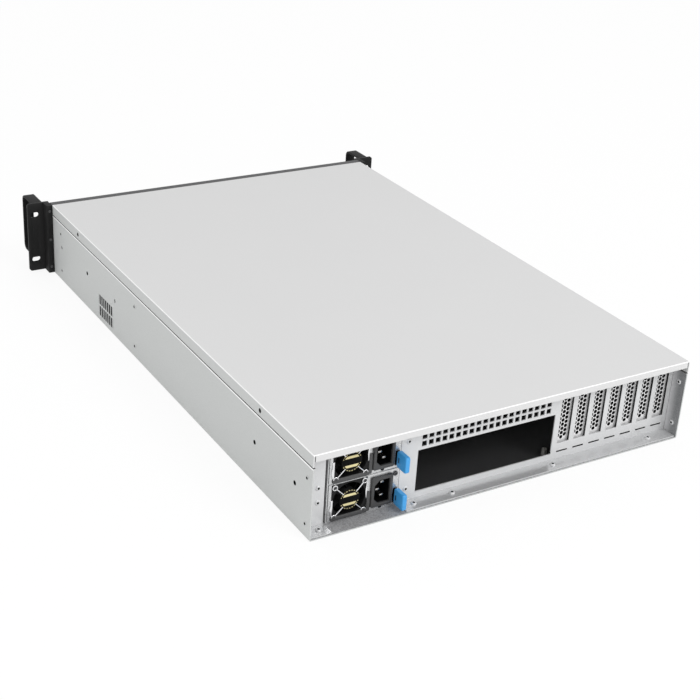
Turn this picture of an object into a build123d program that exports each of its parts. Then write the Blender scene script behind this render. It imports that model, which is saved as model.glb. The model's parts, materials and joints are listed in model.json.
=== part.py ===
from build123d import *
from math import cos, radians, sin
import os

os.makedirs("parts", exist_ok=True)

# Frame of the whole part: the origin is the middle of the flat underside,
# the drive bays face -Y, the supply modules and slots face +Y, and +Z is up.

# Chassis envelope
RACK_W = 482.6
EAR_W = 26.3
BODY_W = RACK_W - 2 * EAR_W
BODY_H = 88.0
BODY_D = 650.0
BASE_SHEET = 1.2
COVER_SHEET = 1.0
COVER_FLANGE = 13.0
REAR_LIP = 7.0
LIP_CORNER_GAP = 1.2
FRONT_STRIP = 10.0
PANEL_RECESS = 18.0
TOP_RETURN = 8.0
SEAT_GAP = 0.3
ROUND_SIDES = 24
SEAM_GAP = 0.8
RIM_R = 0.9

HALF_W = BODY_W / 2
Y_REAR = BODY_D / 2
Y_FRONT = -BODY_D / 2
Y_COVER_FRONT = Y_FRONT + FRONT_STRIP
Y_PANEL = Y_REAR - PANEL_RECESS
SEAM_Z = BODY_H - COVER_FLANGE
COVER_UNDER = BODY_H - COVER_SHEET
WALL_IN = HALF_W - BASE_SHEET
UPPER_WALL_OUT = HALF_W - COVER_SHEET
UPPER_WALL_IN = UPPER_WALL_OUT - BASE_SHEET

# Features of the side walls, with distances measured forward from the rear rim
RAIL_HOLE_1_FROM_REAR = 446.7
RAIL_HOLE_2_FROM_REAR = 612.0
RAIL_HOLE_Z = 43.8
RAIL_HOLE_R = 2.2
SIDE_VENT_FROM_REAR = 474.0
SIDE_VENT_COUNT = 7
SIDE_VENT_PITCH = 5.6
SIDE_VENT_SLOT_W = 3.0
SIDE_VENT_SLOT_H = 11.0
SIDE_VENT_ROW_PITCH = 14.0
SIDE_VENT_Z = 20.0

# Rear panel
PANEL_SHEET = 1.2
PANEL_TOP_GAP = 1.6
FLOOR_LIP_INSET = 1.5
WINDOW_W = 158.75
WINDOW_H = 44.45
WINDOW_TO_PSU = 18.725
WINDOW_Z = 30.9
SLOT_PITCH = 20.32
SLOT_W = 14.4
SLOT_BOTTOM = 19.45
SLOT_TOP_MARGIN = 11.25
SLOT_FROM_WINDOW = 13.725
SLOT_FROM_WALL = 12.5
TAB_SLOT_W = 13.5
TAB_SLOT_H = 1.6
TAB_SLOT_Z = 10.0
VENT_HOLE = 5.4
VENT_PITCH = 7.54
VENT_SHIFT = 1.5
VENT_SIDE_MARGIN = 6.0
VENT_ABOVE_WINDOW = 5.935
VENT_TOP_MARGIN = 8.0

# Slot covers
SLOT_COVER_W = 18.4
SLOT_COVER_SHEET = 0.9
SLOT_COVER_BOTTOM = 10.0
SLOT_COVER_TOP_GAP = 3.4
SLOT_COVER_SETBACK = 2.6
SLOT_TAB_DEPTH = 11.0
PERFORATION_R = 2.65
PERFORATION_PITCH = 6.1
PERFORATION_MARGIN = 8.0

# Supply modules and their cage
PSU_COUNT = 2
PSU_L = 185.0
PSU_HEADROOM = 5.2
PSU_TO_WALL = 26.1
PSU_PROUD = 1.0
PSU_SIDE_GAP = 0.3
PSU_TOP_GAP = 0.2
CAGE_SHEET = 1.0
PSU_SHELF = 0.8
PSU_OPENING_MARGIN_OUT = 2.5
PSU_OPENING_MARGIN_IN = 0.5
PSU_FAN_MARGIN = 0.5
PSU_FAN_SIDE = 2.95
PSU_FAN_L = 28.0
PSU_FAN_RIM = 1.75
PSU_FAN_WALL = 0.5
GUARD_WIRE = 1.2
GUARD_DISC_R = 10.0
GUARD_HOLE_INSET = 3.25
GUARD_EYE_R = 2.8
INLET_W = 22.4
INLET_H = 31.4
INLET_L = 24.0
INLET_FROM_SIDE = 18.0
INLET_TO_FAN = 3.85
INLET_BEZEL_PROUD = 0.8
INLET_CAVITY_W = 16.4
INLET_CAVITY_H = 24.4
INLET_CAVITY_L = 16.0
INLET_CHAMFER = 5.0
PIN_W = 4.0
PIN_T = 2.0
PIN_L = 13.0
PIN_SPREAD = 7.0
PIN_OFFSET = 2.4
LEVER_T = 1.5
LEVER_H = 15.0
LEVER_Z = 9.8
LEVER_FROM_SIDE = 1.9
LEVER_REACH = 38.0
LEVER_KNUCKLE_R = 1.5
LEVER_POCKET_H = 15.6
LEVER_SWING = 2.4
GRIP_T = 4.8
GRIP_H = 16.5
GRIP_L = 15.5
GRIP_STANDOFF = 1.2
GRIP_CORNER_R = 2.0
PLUG_W = 44.0
PLUG_H = 9.0
PLUG_L = 6.0
BOARD_T = 1.6

# Drive bays
BAY_COLUMNS = 4
BAY_ROWS = 2
BAY_SHEET = 1.0
BAY_SIDE_GAP = 2.1
BAY_HEADROOM = 10.8
BAY_CAGE_L = 190.0
TRAY_SIDE_GAP = 0.4
TRAY_FLOOR_GAP = 0.3
TRAY_SHEET = 1.2
TRAY_WALL_H = 24.0
TRAY_END_GAP = 5.0
TRAY_FACE_T = 12.0
TRAY_FACE_PROUD = 5.0
TRAY_EDGE = 1.2
TRAY_FACE_TOP_GAP = 0.5
TRAY_VENT_MARGIN = 4.4
TRAY_VENT_GAP = 3.0
TRAY_VENT_H = 2.4
TRAY_VENT_COLUMNS = 2
TRAY_VENT_PITCH_Z = 4.4
TRAY_VENT_Z = 7.0
LEVER_BAR_MARGIN = 9.9
LEVER_BAR_H = 11.0
LEVER_BAR_T = 4.4
LEVER_BAR_PIVOT = 2.6
LEVER_BAR_KNUCKLE_R = 2.0
LEVER_BAR_Z = 21.0
RECESS_MARGIN = 0.4
RECESS_DEPTH = 5.2

# Backplane, fans and their wall
BACKPLANE_INSET = 0.5
BACKPLANE_CONNECTOR_W = 44.0
BACKPLANE_CONNECTOR_H = 6.0
BACKPLANE_CONNECTOR_L = 6.0
BACKPLANE_CONNECTOR_DROP = 9.0
BACKPLANE_VENT = (70.0, 9.0)
BACKPLANE_VENT_RISE = 6.0
FAN_COUNT = 3
FAN_HEADROOM = 4.6
FAN_L = 38.0
FAN_PITCH = 138.0
FAN_RIM = 2.0
FAN_FLANGE_T = 4.0
FAN_TUBE_WALL = 1.4
FAN_TUBE_SIDES = 8
FAN_WALL_TO_BAYS = 27.0
FAN_WALL_HEADROOM = 1.8
FAN_WALL_SIDE_GAP = 4.8
FAN_WALL_FOOT = 16.0
FAN_HUB_R = 16.0
FAN_STRUT_W = 4.0
FAN_STRUT_T = 3.0
FAN_BLADES = 7
HUB_SIDES = FAN_BLADES
BLADE_ROOT = 0.85
BLADE_CHORD = 0.8
BLADE_T = 0.06
BLADE_PITCH = 52.0
TIP_GAP = 0.8
SHAFT_R = 1.5
SHAFT_CLEARANCE = 0.06
SHAFT_HOLE_SIDES = 12
ROTOR_GAP = 0.4

# Motherboard standoffs on the ATX hole grid
STANDOFF_AF = 5.0
STANDOFF_H = 6.5
STANDOFF_HOLE_R = 1.25
STANDOFF_FROM_WALL = 21.3
STANDOFF_FROM_PANEL = 13.0
STANDOFF_TO_PSU = 8.0
ATX_COLUMN_2 = 124.46
ATX_COLUMN_3 = 281.94
ATX_ROW_2 = 154.94
ATX_ROW_3 = 227.33
STANDOFF_HOLE_SIDES = 12

# Rack ears, handles and buttons
EAR_BOTTOM = 1.0
EAR_TOP_GAP = 0.6
EAR_T = 3.0
EAR_BOX_W = 7.0
EAR_BOX_DEPTH = 17.0
EAR_CORNER = 2.0
EAR_SLOT_INSET = 8.75
EAR_SLOT_SPACING_Z = 57.15
EAR_SLOT_L = 10.5
EAR_SLOT_W = 6.6
HANDLE_W = 13.0
HANDLE_T = 2.5
HANDLE_REACH = 34.0
HANDLE_BOTTOM_Z = 17.0
HANDLE_CORNER_R = 7.0
BUTTON_R = 2.4
BUTTON_SIDES = 12
BUTTON_CLEARANCE = 0.1
BUTTON_L = 9.0
BUTTON_PROUD = 1.2
BUTTON_TRAVEL = 1.0
POWER_BUTTON_Z = 70.0
RESET_BUTTON_Z = 56.0


def across(y):
    """Sketch plane at depth y, drawn in (x, z); a positive extrude runs forward, towards -Y."""
    return Plane.XZ.offset(-y)


# Chassis base: one folded sheet, its walls stepped inwards under the cover's flanges
with BuildPart() as chassis_base:
    with BuildSketch(across(Y_REAR)):
        with BuildLine():
            Polyline(
                (0, 0),
                (HALF_W, 0),
                (HALF_W, SEAM_Z),
                (UPPER_WALL_OUT, SEAM_Z),
                (UPPER_WALL_OUT, COVER_UNDER),
                (UPPER_WALL_OUT - TOP_RETURN, COVER_UNDER),
                (UPPER_WALL_OUT - TOP_RETURN, COVER_UNDER - BASE_SHEET),
                (UPPER_WALL_IN, COVER_UNDER - BASE_SHEET),
                (UPPER_WALL_IN, SEAM_Z - BASE_SHEET),
                (WALL_IN, SEAM_Z - BASE_SHEET),
                (WALL_IN, BASE_SHEET),
                (0, BASE_SHEET),
                close=True,
            )
        make_face()
        mirror(about=Plane.YZ)
    extrude(amount=BODY_D)
    outer_bends = chassis_base.edges().filter_by(Axis.Y).group_by(Axis.Z)[0].sort_by(Axis.X)
    fillet((outer_bends[0], outer_bends[-1]), BASE_SHEET)
    # The stepped upper walls stop at the rear panel and at the front frame
    for y_cut, length in ((Y_REAR, PANEL_RECESS), (Y_COVER_FRONT, FRONT_STRIP)):
        with BuildSketch(across(y_cut)):
            with Locations((0, SEAM_Z)):
                Rectangle(BODY_W, COVER_FLANGE, align=(Align.CENTER, Align.MIN))
        extrude(amount=length, mode=Mode.SUBTRACT)
    with BuildSketch(Plane.YZ.offset(-HALF_W)):
        for from_rear in (RAIL_HOLE_1_FROM_REAR, RAIL_HOLE_2_FROM_REAR):
            with Locations((Y_REAR - from_rear, RAIL_HOLE_Z)):
                Circle(RAIL_HOLE_R)
        with Locations((Y_REAR - SIDE_VENT_FROM_REAR, SIDE_VENT_Z)):
            with GridLocations(SIDE_VENT_PITCH, SIDE_VENT_ROW_PITCH, SIDE_VENT_COUNT, 2):
                Rectangle(SIDE_VENT_SLOT_W, SIDE_VENT_SLOT_H)
    extrude(amount=BODY_W, mode=Mode.SUBTRACT)
chassis_base.part.label = "chassis_base"
export_step(chassis_base.part, "parts/chassis_base.step")

# Top cover: flanges flush with the walls below them, and a lip over the rear recess
with BuildPart() as top_cover:
    with BuildSketch(across(Y_REAR)):
        with BuildLine():
            Polyline(
                (0, COVER_UNDER),
                (UPPER_WALL_OUT, COVER_UNDER),
                (UPPER_WALL_OUT, SEAM_Z + SEAM_GAP),
                (HALF_W, SEAM_Z + SEAM_GAP),
                (HALF_W, BODY_H),
                (0, BODY_H),
                close=True,
            )
        make_face()
        mirror(about=Plane.YZ)
    extrude(amount=BODY_D - FRONT_STRIP)
    with BuildSketch(across(Y_REAR)):
        with Locations((0, BODY_H)):
            Rectangle(BODY_W, REAR_LIP, align=(Align.CENTER, Align.MAX))
    extrude(amount=COVER_SHEET)
    top_rim = top_cover.edges().group_by(Axis.Z)[-1]
    fillet(top_rim.filter_by(Axis.Y) + top_rim.filter_by(Axis.X).sort_by(Axis.Y)[-1:], RIM_R)
    # Relief slots where the lip meets the side flanges
    with BuildSketch(across(Y_REAR)):
        for side in (1, -1):
            with Locations((side * (UPPER_WALL_OUT - LIP_CORNER_GAP / 2), COVER_UNDER)):
                Rectangle(LIP_CORNER_GAP, REAR_LIP, align=(Align.CENTER, Align.MAX))
    extrude(amount=COVER_SHEET, mode=Mode.SUBTRACT)
top_cover.part.label = "top_cover"
export_step(top_cover.part, "parts/top_cover.step")

# Places shared by the rear panel, the supply cage and the modules
Z_FLOOR = BASE_SHEET
PANEL_HALF_W = WALL_IN - SEAT_GAP
PANEL_UPPER_HALF_W = UPPER_WALL_IN - SEAT_GAP
PANEL_TOP = COVER_UNDER - PANEL_TOP_GAP
PSU_CAGE_H = COVER_UNDER - PSU_HEADROOM - Z_FLOOR
PSU_CELL_H = (PSU_CAGE_H - 2 * CAGE_SHEET - (PSU_COUNT - 1) * PSU_SHELF) / PSU_COUNT
PSU_PITCH = PSU_CELL_H + PSU_SHELF
PSU_H = PSU_CELL_H - 2 * PSU_TOP_GAP
PSU_FAN = PSU_H - 2 * PSU_FAN_MARGIN
PSU_FAN_BORE_R = PSU_FAN / 2 - PSU_FAN_RIM
GUARD_HOLE_PITCH = PSU_FAN - 2 * GUARD_HOLE_INSET
PSU_W = INLET_FROM_SIDE + INLET_W / 2 + INLET_TO_FAN + PSU_FAN + PSU_FAN_SIDE
PSU_CELL_W = PSU_W + 2 * PSU_SIDE_GAP
PSU_CAGE_W = PSU_CELL_W + 2 * CAGE_SHEET
PSU_X = WALL_IN - PSU_TO_WALL - PSU_W / 2
PSU_IN_X = PSU_X - PSU_W / 2
PSU_FAN_X = PSU_X + PSU_W / 2 - PSU_FAN_SIDE - PSU_FAN / 2
INLET_X = PSU_IN_X + INLET_FROM_SIDE
LEVER_X = PSU_IN_X + LEVER_FROM_SIDE
PSU_BOTTOM = Z_FLOOR + CAGE_SHEET + PSU_TOP_GAP
Y_PSU_FACE = Y_PANEL + PSU_PROUD
Y_PSU_FRONT = Y_PSU_FACE - PSU_L
Y_PSU_CAGE_FRONT = Y_PSU_FRONT - PLUG_L - SEAT_GAP
PSU_OPENING_X = PSU_X + (PSU_OPENING_MARGIN_OUT - PSU_OPENING_MARGIN_IN) / 2
PSU_OPENING_W = PSU_CAGE_W + PSU_OPENING_MARGIN_OUT + PSU_OPENING_MARGIN_IN

# As many slots, air holes and perforations as there is room for
WINDOW_X = PSU_OPENING_X - PSU_OPENING_W / 2 - WINDOW_TO_PSU - WINDOW_W / 2
SLOT_FIRST_X = WINDOW_X - WINDOW_W / 2 - SLOT_FROM_WINDOW
SLOT_COUNT = 1 + int((SLOT_FIRST_X + WALL_IN - SLOT_FROM_WALL) / SLOT_PITCH)
SLOTS_MID_X = SLOT_FIRST_X - SLOT_PITCH * (SLOT_COUNT - 1) / 2
SLOT_H = PANEL_TOP - SLOT_TOP_MARGIN - SLOT_BOTTOM
SLOT_Z = SLOT_BOTTOM + SLOT_H / 2
SLOT_COVER_H = PANEL_TOP - SLOT_COVER_TOP_GAP - SLOT_COVER_BOTTOM
SLOT_COVER_Z = SLOT_COVER_BOTTOM + SLOT_COVER_H / 2
PERFORATION_ROWS = int((SLOT_H - PERFORATION_MARGIN) / PERFORATION_PITCH)
VENT_FIRST_Z = WINDOW_Z + WINDOW_H / 2 + VENT_ABOVE_WINDOW
VENT_ROWS = 1 + int((PANEL_TOP - VENT_TOP_MARGIN - VENT_FIRST_Z) / VENT_PITCH)
VENT_COLUMNS = int((WINDOW_W - VENT_SIDE_MARGIN) / VENT_PITCH)
VENT_X = WINDOW_X + VENT_SHIFT
VENT_Z = VENT_FIRST_Z + VENT_PITCH * (VENT_ROWS - 1) / 2

# Rear panel: an upright sheet with a lip that lies on the floor behind it
with BuildPart() as rear_panel:
    with BuildSketch(across(Y_PANEL)):
        with Locations((0, Z_FLOOR)):
            Rectangle(2 * PANEL_UPPER_HALF_W, PANEL_TOP - Z_FLOOR, align=(Align.CENTER, Align.MIN))
            Rectangle(
                2 * PANEL_HALF_W, SEAM_Z - 2 * BASE_SHEET - Z_FLOOR, align=(Align.CENTER, Align.MIN)
            )
        with Locations((WINDOW_X, WINDOW_Z)):
            Rectangle(WINDOW_W, WINDOW_H, mode=Mode.SUBTRACT)
        with Locations((SLOTS_MID_X, SLOT_Z)):
            with GridLocations(SLOT_PITCH, 0, SLOT_COUNT, 1):
                Rectangle(SLOT_W, SLOT_H, mode=Mode.SUBTRACT)
        with Locations((SLOTS_MID_X, TAB_SLOT_Z)):
            with GridLocations(SLOT_PITCH, 0, SLOT_COUNT, 1):
                Rectangle(TAB_SLOT_W, TAB_SLOT_H, mode=Mode.SUBTRACT)
        with Locations((VENT_X, VENT_Z)):
            with GridLocations(VENT_PITCH, VENT_PITCH, VENT_COLUMNS, VENT_ROWS):
                Rectangle(VENT_HOLE, VENT_HOLE, mode=Mode.SUBTRACT)
        with Locations((PSU_OPENING_X, Z_FLOOR)):
            Rectangle(
                PSU_OPENING_W,
                PSU_CAGE_H + PSU_OPENING_MARGIN_IN,
                align=(Align.CENTER, Align.MIN),
                mode=Mode.SUBTRACT,
            )
    extrude(amount=PANEL_SHEET)
    # The lip runs back over the floor to just inside the rear rim, and leaves the modules' way free
    with BuildSketch(Plane.XY.offset(Z_FLOOR)):
        with Locations((0, Y_PANEL - PANEL_SHEET)):
            Rectangle(
                2 * PANEL_HALF_W,
                PANEL_RECESS + PANEL_SHEET - FLOOR_LIP_INSET,
                align=(Align.CENTER, Align.MIN),
            )
        with Locations((PSU_OPENING_X, Y_PANEL - PANEL_SHEET)):
            Rectangle(
                PSU_OPENING_W,
                PANEL_RECESS + PANEL_SHEET,
                align=(Align.CENTER, Align.MIN),
                mode=Mode.SUBTRACT,
            )
    extrude(amount=PANEL_SHEET)
rear_panel.part.label = "rear_panel"
export_step(rear_panel.part, "parts/rear_panel.step")

# Slot covers: perforated strips behind the slot openings, hung from a folded tab
Y_SLOT_COVER = Y_PANEL - PANEL_SHEET - SLOT_COVER_SETBACK
PERFORATION_STEP = PERFORATION_PITCH * 3**0.5 / 2

with BuildPart() as slot_cover:
    with BuildSketch(across(Y_SLOT_COVER)):
        with Locations((0, SLOT_COVER_Z)):
            Rectangle(SLOT_COVER_W, SLOT_COVER_H)
        for column in (-1, 0, 1):
            shift = PERFORATION_PITCH / 2 * (column % 2)
            with Locations((column * PERFORATION_STEP, SLOT_Z - shift)):
                with GridLocations(0, PERFORATION_PITCH, 1, PERFORATION_ROWS + (column + 1) % 2):
                    RegularPolygon(PERFORATION_R, 4, mode=Mode.SUBTRACT)
    extrude(amount=SLOT_COVER_SHEET)
    # The side folds run back to the panel, and the top tab runs forward
    with BuildSketch(Plane.XY.offset(SLOT_COVER_Z - SLOT_COVER_H / 2)):
        for side in (1, -1):
            with Locations((side * (SLOT_COVER_W - SLOT_COVER_SHEET) / 2, Y_SLOT_COVER)):
                Rectangle(SLOT_COVER_SHEET, SLOT_COVER_SETBACK, align=(Align.CENTER, Align.MIN))
    extrude(amount=SLOT_COVER_H)
    with BuildSketch(Plane.XY.offset(SLOT_COVER_Z + SLOT_COVER_H / 2 - SLOT_COVER_SHEET)):
        with Locations((0, Y_SLOT_COVER)):
            Rectangle(SLOT_COVER_W, SLOT_TAB_DEPTH, align=(Align.CENTER, Align.MAX))
    extrude(amount=SLOT_COVER_SHEET)

for number in range(1, SLOT_COUNT + 1):
    placed = slot_cover.part.moved(Location((SLOT_FIRST_X - SLOT_PITCH * (number - 1), 0, 0)))
    placed.label = f"slot_cover_{number}"
    export_step(placed, f"parts/slot_cover_{number}.step")

# Supply cage: a tube with one cell for each module, and the board that joins them at its front end
with BuildPart() as psu_cage:
    with BuildSketch(across(Y_PANEL)):
        with Locations((PSU_X, Z_FLOOR)):
            Rectangle(PSU_CAGE_W, PSU_CAGE_H, align=(Align.CENTER, Align.MIN))
        for number in range(PSU_COUNT):
            with Locations((PSU_X, Z_FLOOR + CAGE_SHEET + number * PSU_PITCH)):
                Rectangle(
                    PSU_CELL_W, PSU_CELL_H, align=(Align.CENTER, Align.MIN), mode=Mode.SUBTRACT
                )
    extrude(amount=Y_PANEL - Y_PSU_CAGE_FRONT)
psu_cage.part.label = "psu_cage"
export_step(psu_cage.part, "parts/psu_cage.step")

with BuildPart() as psu_power_board:
    with BuildSketch(across(Y_PSU_CAGE_FRONT)):
        with Locations((PSU_X, Z_FLOOR)):
            Rectangle(PSU_CAGE_W, PSU_CAGE_H, align=(Align.CENTER, Align.MIN))
    extrude(amount=BOARD_T)
    # The outlet block for the board's own leads, on the side away from the modules
    with BuildSketch(across(Y_PSU_CAGE_FRONT - BOARD_T)):
        with Locations((PSU_X, Z_FLOOR + PSU_CAGE_H / 2)):
            Rectangle(PLUG_W, 2 * PLUG_H)
    extrude(amount=PLUG_L)
psu_power_board.part.label = "psu_power_board"
export_step(psu_power_board.part, "parts/psu_power_board.step")

# Supply module, modelled in the lower cell
PSU_MID_Z = PSU_BOTTOM + PSU_H / 2
LEVER_PIVOT_Y = Y_PSU_FACE - LEVER_REACH
LEVER_MID_Z = PSU_BOTTOM + LEVER_Z

with BuildPart() as psu_housing:
    with BuildSketch(across(Y_PSU_FACE)):
        with Locations((PSU_X, PSU_MID_Z)):
            Rectangle(PSU_W, PSU_H)
    extrude(amount=PSU_L)
    # Pockets for the fan and for the mains inlet
    with BuildSketch(across(Y_PSU_FACE)):
        with Locations((PSU_FAN_X, PSU_MID_Z)):
            Rectangle(PSU_FAN, PSU_FAN)
    extrude(amount=PSU_FAN_L, mode=Mode.SUBTRACT)
    with BuildSketch(across(Y_PSU_FACE)):
        with Locations((INLET_X, PSU_MID_Z)):
            Rectangle(INLET_W, INLET_H)
    extrude(amount=INLET_L, mode=Mode.SUBTRACT)
    # The lever's pocket widens towards the face, by as much as the lever swings
    with BuildSketch(Plane.XY.offset(LEVER_MID_Z - LEVER_POCKET_H / 2)):
        with BuildLine():
            Polyline(
                (PSU_IN_X, LEVER_PIVOT_Y - LEVER_KNUCKLE_R - SEAT_GAP),
                (LEVER_X + LEVER_KNUCKLE_R + SEAT_GAP, LEVER_PIVOT_Y - LEVER_KNUCKLE_R - SEAT_GAP),
                (LEVER_X + LEVER_KNUCKLE_R + SEAT_GAP, LEVER_PIVOT_Y),
                (LEVER_X + LEVER_T / 2 + LEVER_SWING, Y_PSU_FACE),
                (PSU_IN_X, Y_PSU_FACE),
                close=True,
            )
        make_face()
    extrude(amount=LEVER_POCKET_H, mode=Mode.SUBTRACT)
    # Plug of the module, at its front end
    with BuildSketch(across(Y_PSU_FRONT)):
        with Locations((PSU_X, PSU_MID_Z)):
            Rectangle(PLUG_W, PLUG_H)
    extrude(amount=PLUG_L)

with BuildPart() as psu_fan_frame:
    with BuildSketch(across(Y_PSU_FACE)):
        with Locations((PSU_FAN_X, PSU_MID_Z)):
            Rectangle(PSU_FAN, PSU_FAN)
            RegularPolygon(PSU_FAN_BORE_R, ROUND_SIDES, major_radius=False, mode=Mode.SUBTRACT)
    extrude(amount=PSU_FAN_L)
    # Motor plate and its arms, at the inner end of the bore
    with BuildSketch(across(Y_PSU_FACE - PSU_FAN_L + FAN_STRUT_T)):
        with Locations((PSU_FAN_X, PSU_MID_Z)):
            RegularPolygon(GUARD_DISC_R, 2 * HUB_SIDES)
            Rectangle(2 * PSU_FAN_BORE_R + PSU_FAN_WALL, FAN_STRUT_W)
            Rectangle(FAN_STRUT_W, 2 * PSU_FAN_BORE_R + PSU_FAN_WALL)
            RegularPolygon(
                SHAFT_R + SHAFT_CLEARANCE, SHAFT_HOLE_SIDES, major_radius=False, mode=Mode.SUBTRACT
            )
    extrude(amount=FAN_STRUT_T)

with BuildPart() as psu_fan_guard:
    with BuildSketch(across(Y_PSU_FACE + GUARD_WIRE)):
        with Locations((PSU_FAN_X, PSU_MID_Z)):
            RegularPolygon(GUARD_DISC_R, ROUND_SIDES)
            for turn in (45, 135):
                Rectangle(GUARD_HOLE_PITCH * 2**0.5, GUARD_WIRE, rotation=turn)
            with GridLocations(GUARD_HOLE_PITCH, GUARD_HOLE_PITCH, 2, 2):
                RegularPolygon(GUARD_EYE_R, FAN_TUBE_SIDES)
    extrude(amount=GUARD_WIRE)

with BuildPart() as psu_inlet:
    with BuildSketch(across(Y_PSU_FACE + INLET_BEZEL_PROUD)):
        with Locations((INLET_X, PSU_MID_Z)):
            Rectangle(INLET_W, INLET_H)
    extrude(amount=INLET_L + INLET_BEZEL_PROUD)
    # Cavity with the two corners cut on the side away from the latch lever
    with BuildSketch(across(Y_PSU_FACE + INLET_BEZEL_PROUD)) as cavity:
        with Locations((INLET_X, PSU_MID_Z)):
            Rectangle(INLET_CAVITY_W, INLET_CAVITY_H)
        chamfer(cavity.vertices().group_by(Axis.X)[-1], INLET_CHAMFER)
    extrude(amount=INLET_CAVITY_L, mode=Mode.SUBTRACT)
    with BuildSketch(across(Y_PSU_FACE + INLET_BEZEL_PROUD - INLET_CAVITY_L)):
        with Locations(
            (INLET_X - PIN_OFFSET, PSU_MID_Z + PIN_SPREAD),
            (INLET_X - PIN_OFFSET, PSU_MID_Z - PIN_SPREAD),
            (INLET_X + PIN_OFFSET, PSU_MID_Z),
        ):
            Rectangle(PIN_W, PIN_T)
    extrude(amount=-PIN_L)

with BuildPart() as psu_lever:
    with BuildSketch(Plane.XY.offset(LEVER_MID_Z - LEVER_H / 2)):
        with Locations((LEVER_X, LEVER_PIVOT_Y)):
            Circle(LEVER_KNUCKLE_R)
            Rectangle(
                LEVER_T, LEVER_REACH + GRIP_STANDOFF + GRIP_L / 2, align=(Align.CENTER, Align.MIN)
            )
    extrude(amount=LEVER_H)

with BuildPart() as psu_grip:
    with BuildSketch(Plane.YZ.offset(LEVER_X - GRIP_T / 2)) as grip_side:
        with Locations((Y_PSU_FACE + GRIP_STANDOFF, LEVER_MID_Z)):
            Rectangle(GRIP_L, GRIP_H, align=(Align.MIN, Align.CENTER))
        fillet(grip_side.vertices().group_by(Axis.X)[-1], GRIP_CORNER_R)
    extrude(amount=GRIP_T)
    with BuildSketch(across(Y_PSU_FACE + GRIP_STANDOFF)):
        with Locations((LEVER_X, LEVER_MID_Z)):
            Rectangle(LEVER_T, LEVER_H)
    extrude(amount=-GRIP_L / 2, mode=Mode.SUBTRACT)


def make_rotor(x, z, y_back, hub_r, tip_r, length):
    """Fan rotor with its back face at depth y_back: hub, blades, and a shaft that runs forward."""
    with BuildPart() as rotor:
        with BuildSketch(across(y_back + length)):
            with Locations((x, z)):
                RegularPolygon(hub_r, HUB_SIDES)
        extrude(amount=length)
        # Flat blades, their outer corners inside the tip's circle
        chord = length * BLADE_CHORD
        half_sweep = chord * sin(radians(90 - BLADE_PITCH)) / 2
        for blade in range(FAN_BLADES):
            turn = radians(360 / FAN_BLADES * blade)
            outwards = Vector(cos(turn), 0, sin(turn))
            sideways = Vector(-sin(turn), 0, cos(turn))
            middle = Vector(x, y_back + length / 2, z)
            root = Plane(origin=middle + outwards * (hub_r * BLADE_ROOT), x_dir=sideways, z_dir=outwards)
            with BuildSketch(root):
                Rectangle(chord, tip_r * BLADE_T, rotation=BLADE_PITCH)
            extrude(amount=(tip_r**2 - half_sweep**2) ** 0.5 - hub_r * BLADE_ROOT)
        with BuildSketch(across(y_back)):
            with Locations((x, z)):
                Circle(SHAFT_R)
        extrude(amount=FAN_STRUT_T)
    return rotor.part


# The rotor's back face clears the motor plate, and its front face stays inside the bore
PSU_ROTOR_BACK = Y_PSU_FACE - PSU_FAN_L + FAN_STRUT_T + ROTOR_GAP
psu_rotor = make_rotor(
    PSU_FAN_X,
    PSU_MID_Z,
    PSU_ROTOR_BACK,
    GUARD_DISC_R,
    PSU_FAN_BORE_R - TIP_GAP,
    Y_PSU_FACE - ROTOR_GAP - PSU_ROTOR_BACK,
)

PSU_PIECES = {
    "psu_housing": psu_housing.part,
    "psu_fan_frame": psu_fan_frame.part,
    "psu_fan_rotor": psu_rotor,
    "psu_fan_guard": psu_fan_guard.part,
    "psu_inlet": psu_inlet.part,
    "psu_lever": psu_lever.part,
    "psu_grip": psu_grip.part,
}
for number in range(PSU_COUNT):
    for name, piece in PSU_PIECES.items():
        placed = piece.moved(Location((0, 0, number * PSU_PITCH)))
        placed.label = f"{name}_{number + 1}"
        export_step(placed, f"parts/{name}_{number + 1}.step")

# Drive cage: three shelves and the uprights welded between them, on the floor behind the front frame
BAY_CAGE_W = 2 * (WALL_IN - BAY_SIDE_GAP)
BAY_CAGE_H = COVER_UNDER - BAY_HEADROOM - Z_FLOOR
CELL_PITCH_X = (BAY_CAGE_W - BAY_SHEET) / BAY_COLUMNS
CELL_PITCH_Z = (BAY_CAGE_H - BAY_SHEET) / BAY_ROWS
CELL_W = CELL_PITCH_X - BAY_SHEET
CELL_H = CELL_PITCH_Z - BAY_SHEET
BAY_MID_Z = Z_FLOOR + BAY_CAGE_H / 2
Y_BAY_REAR = Y_COVER_FRONT + BAY_CAGE_L

with BuildPart() as cage_shelves:
    with BuildSketch(across(Y_BAY_REAR)):
        with Locations((0, BAY_MID_Z)):
            with GridLocations(0, CELL_PITCH_Z, 1, BAY_ROWS + 1):
                Rectangle(BAY_CAGE_W, BAY_SHEET)
    extrude(amount=BAY_CAGE_L)
with BuildPart() as cage_uprights:
    with BuildSketch(across(Y_BAY_REAR)):
        with Locations((0, BAY_MID_Z)):
            with GridLocations(CELL_PITCH_X, CELL_PITCH_Z, BAY_COLUMNS + 1, BAY_ROWS):
                Rectangle(BAY_SHEET, CELL_H)
    extrude(amount=BAY_CAGE_L)
drive_cage = Compound(cage_shelves.part.solids() + cage_uprights.part.solids())
drive_cage.label = "drive_cage"
export_step(drive_cage, "parts/drive_cage.step")

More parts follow.
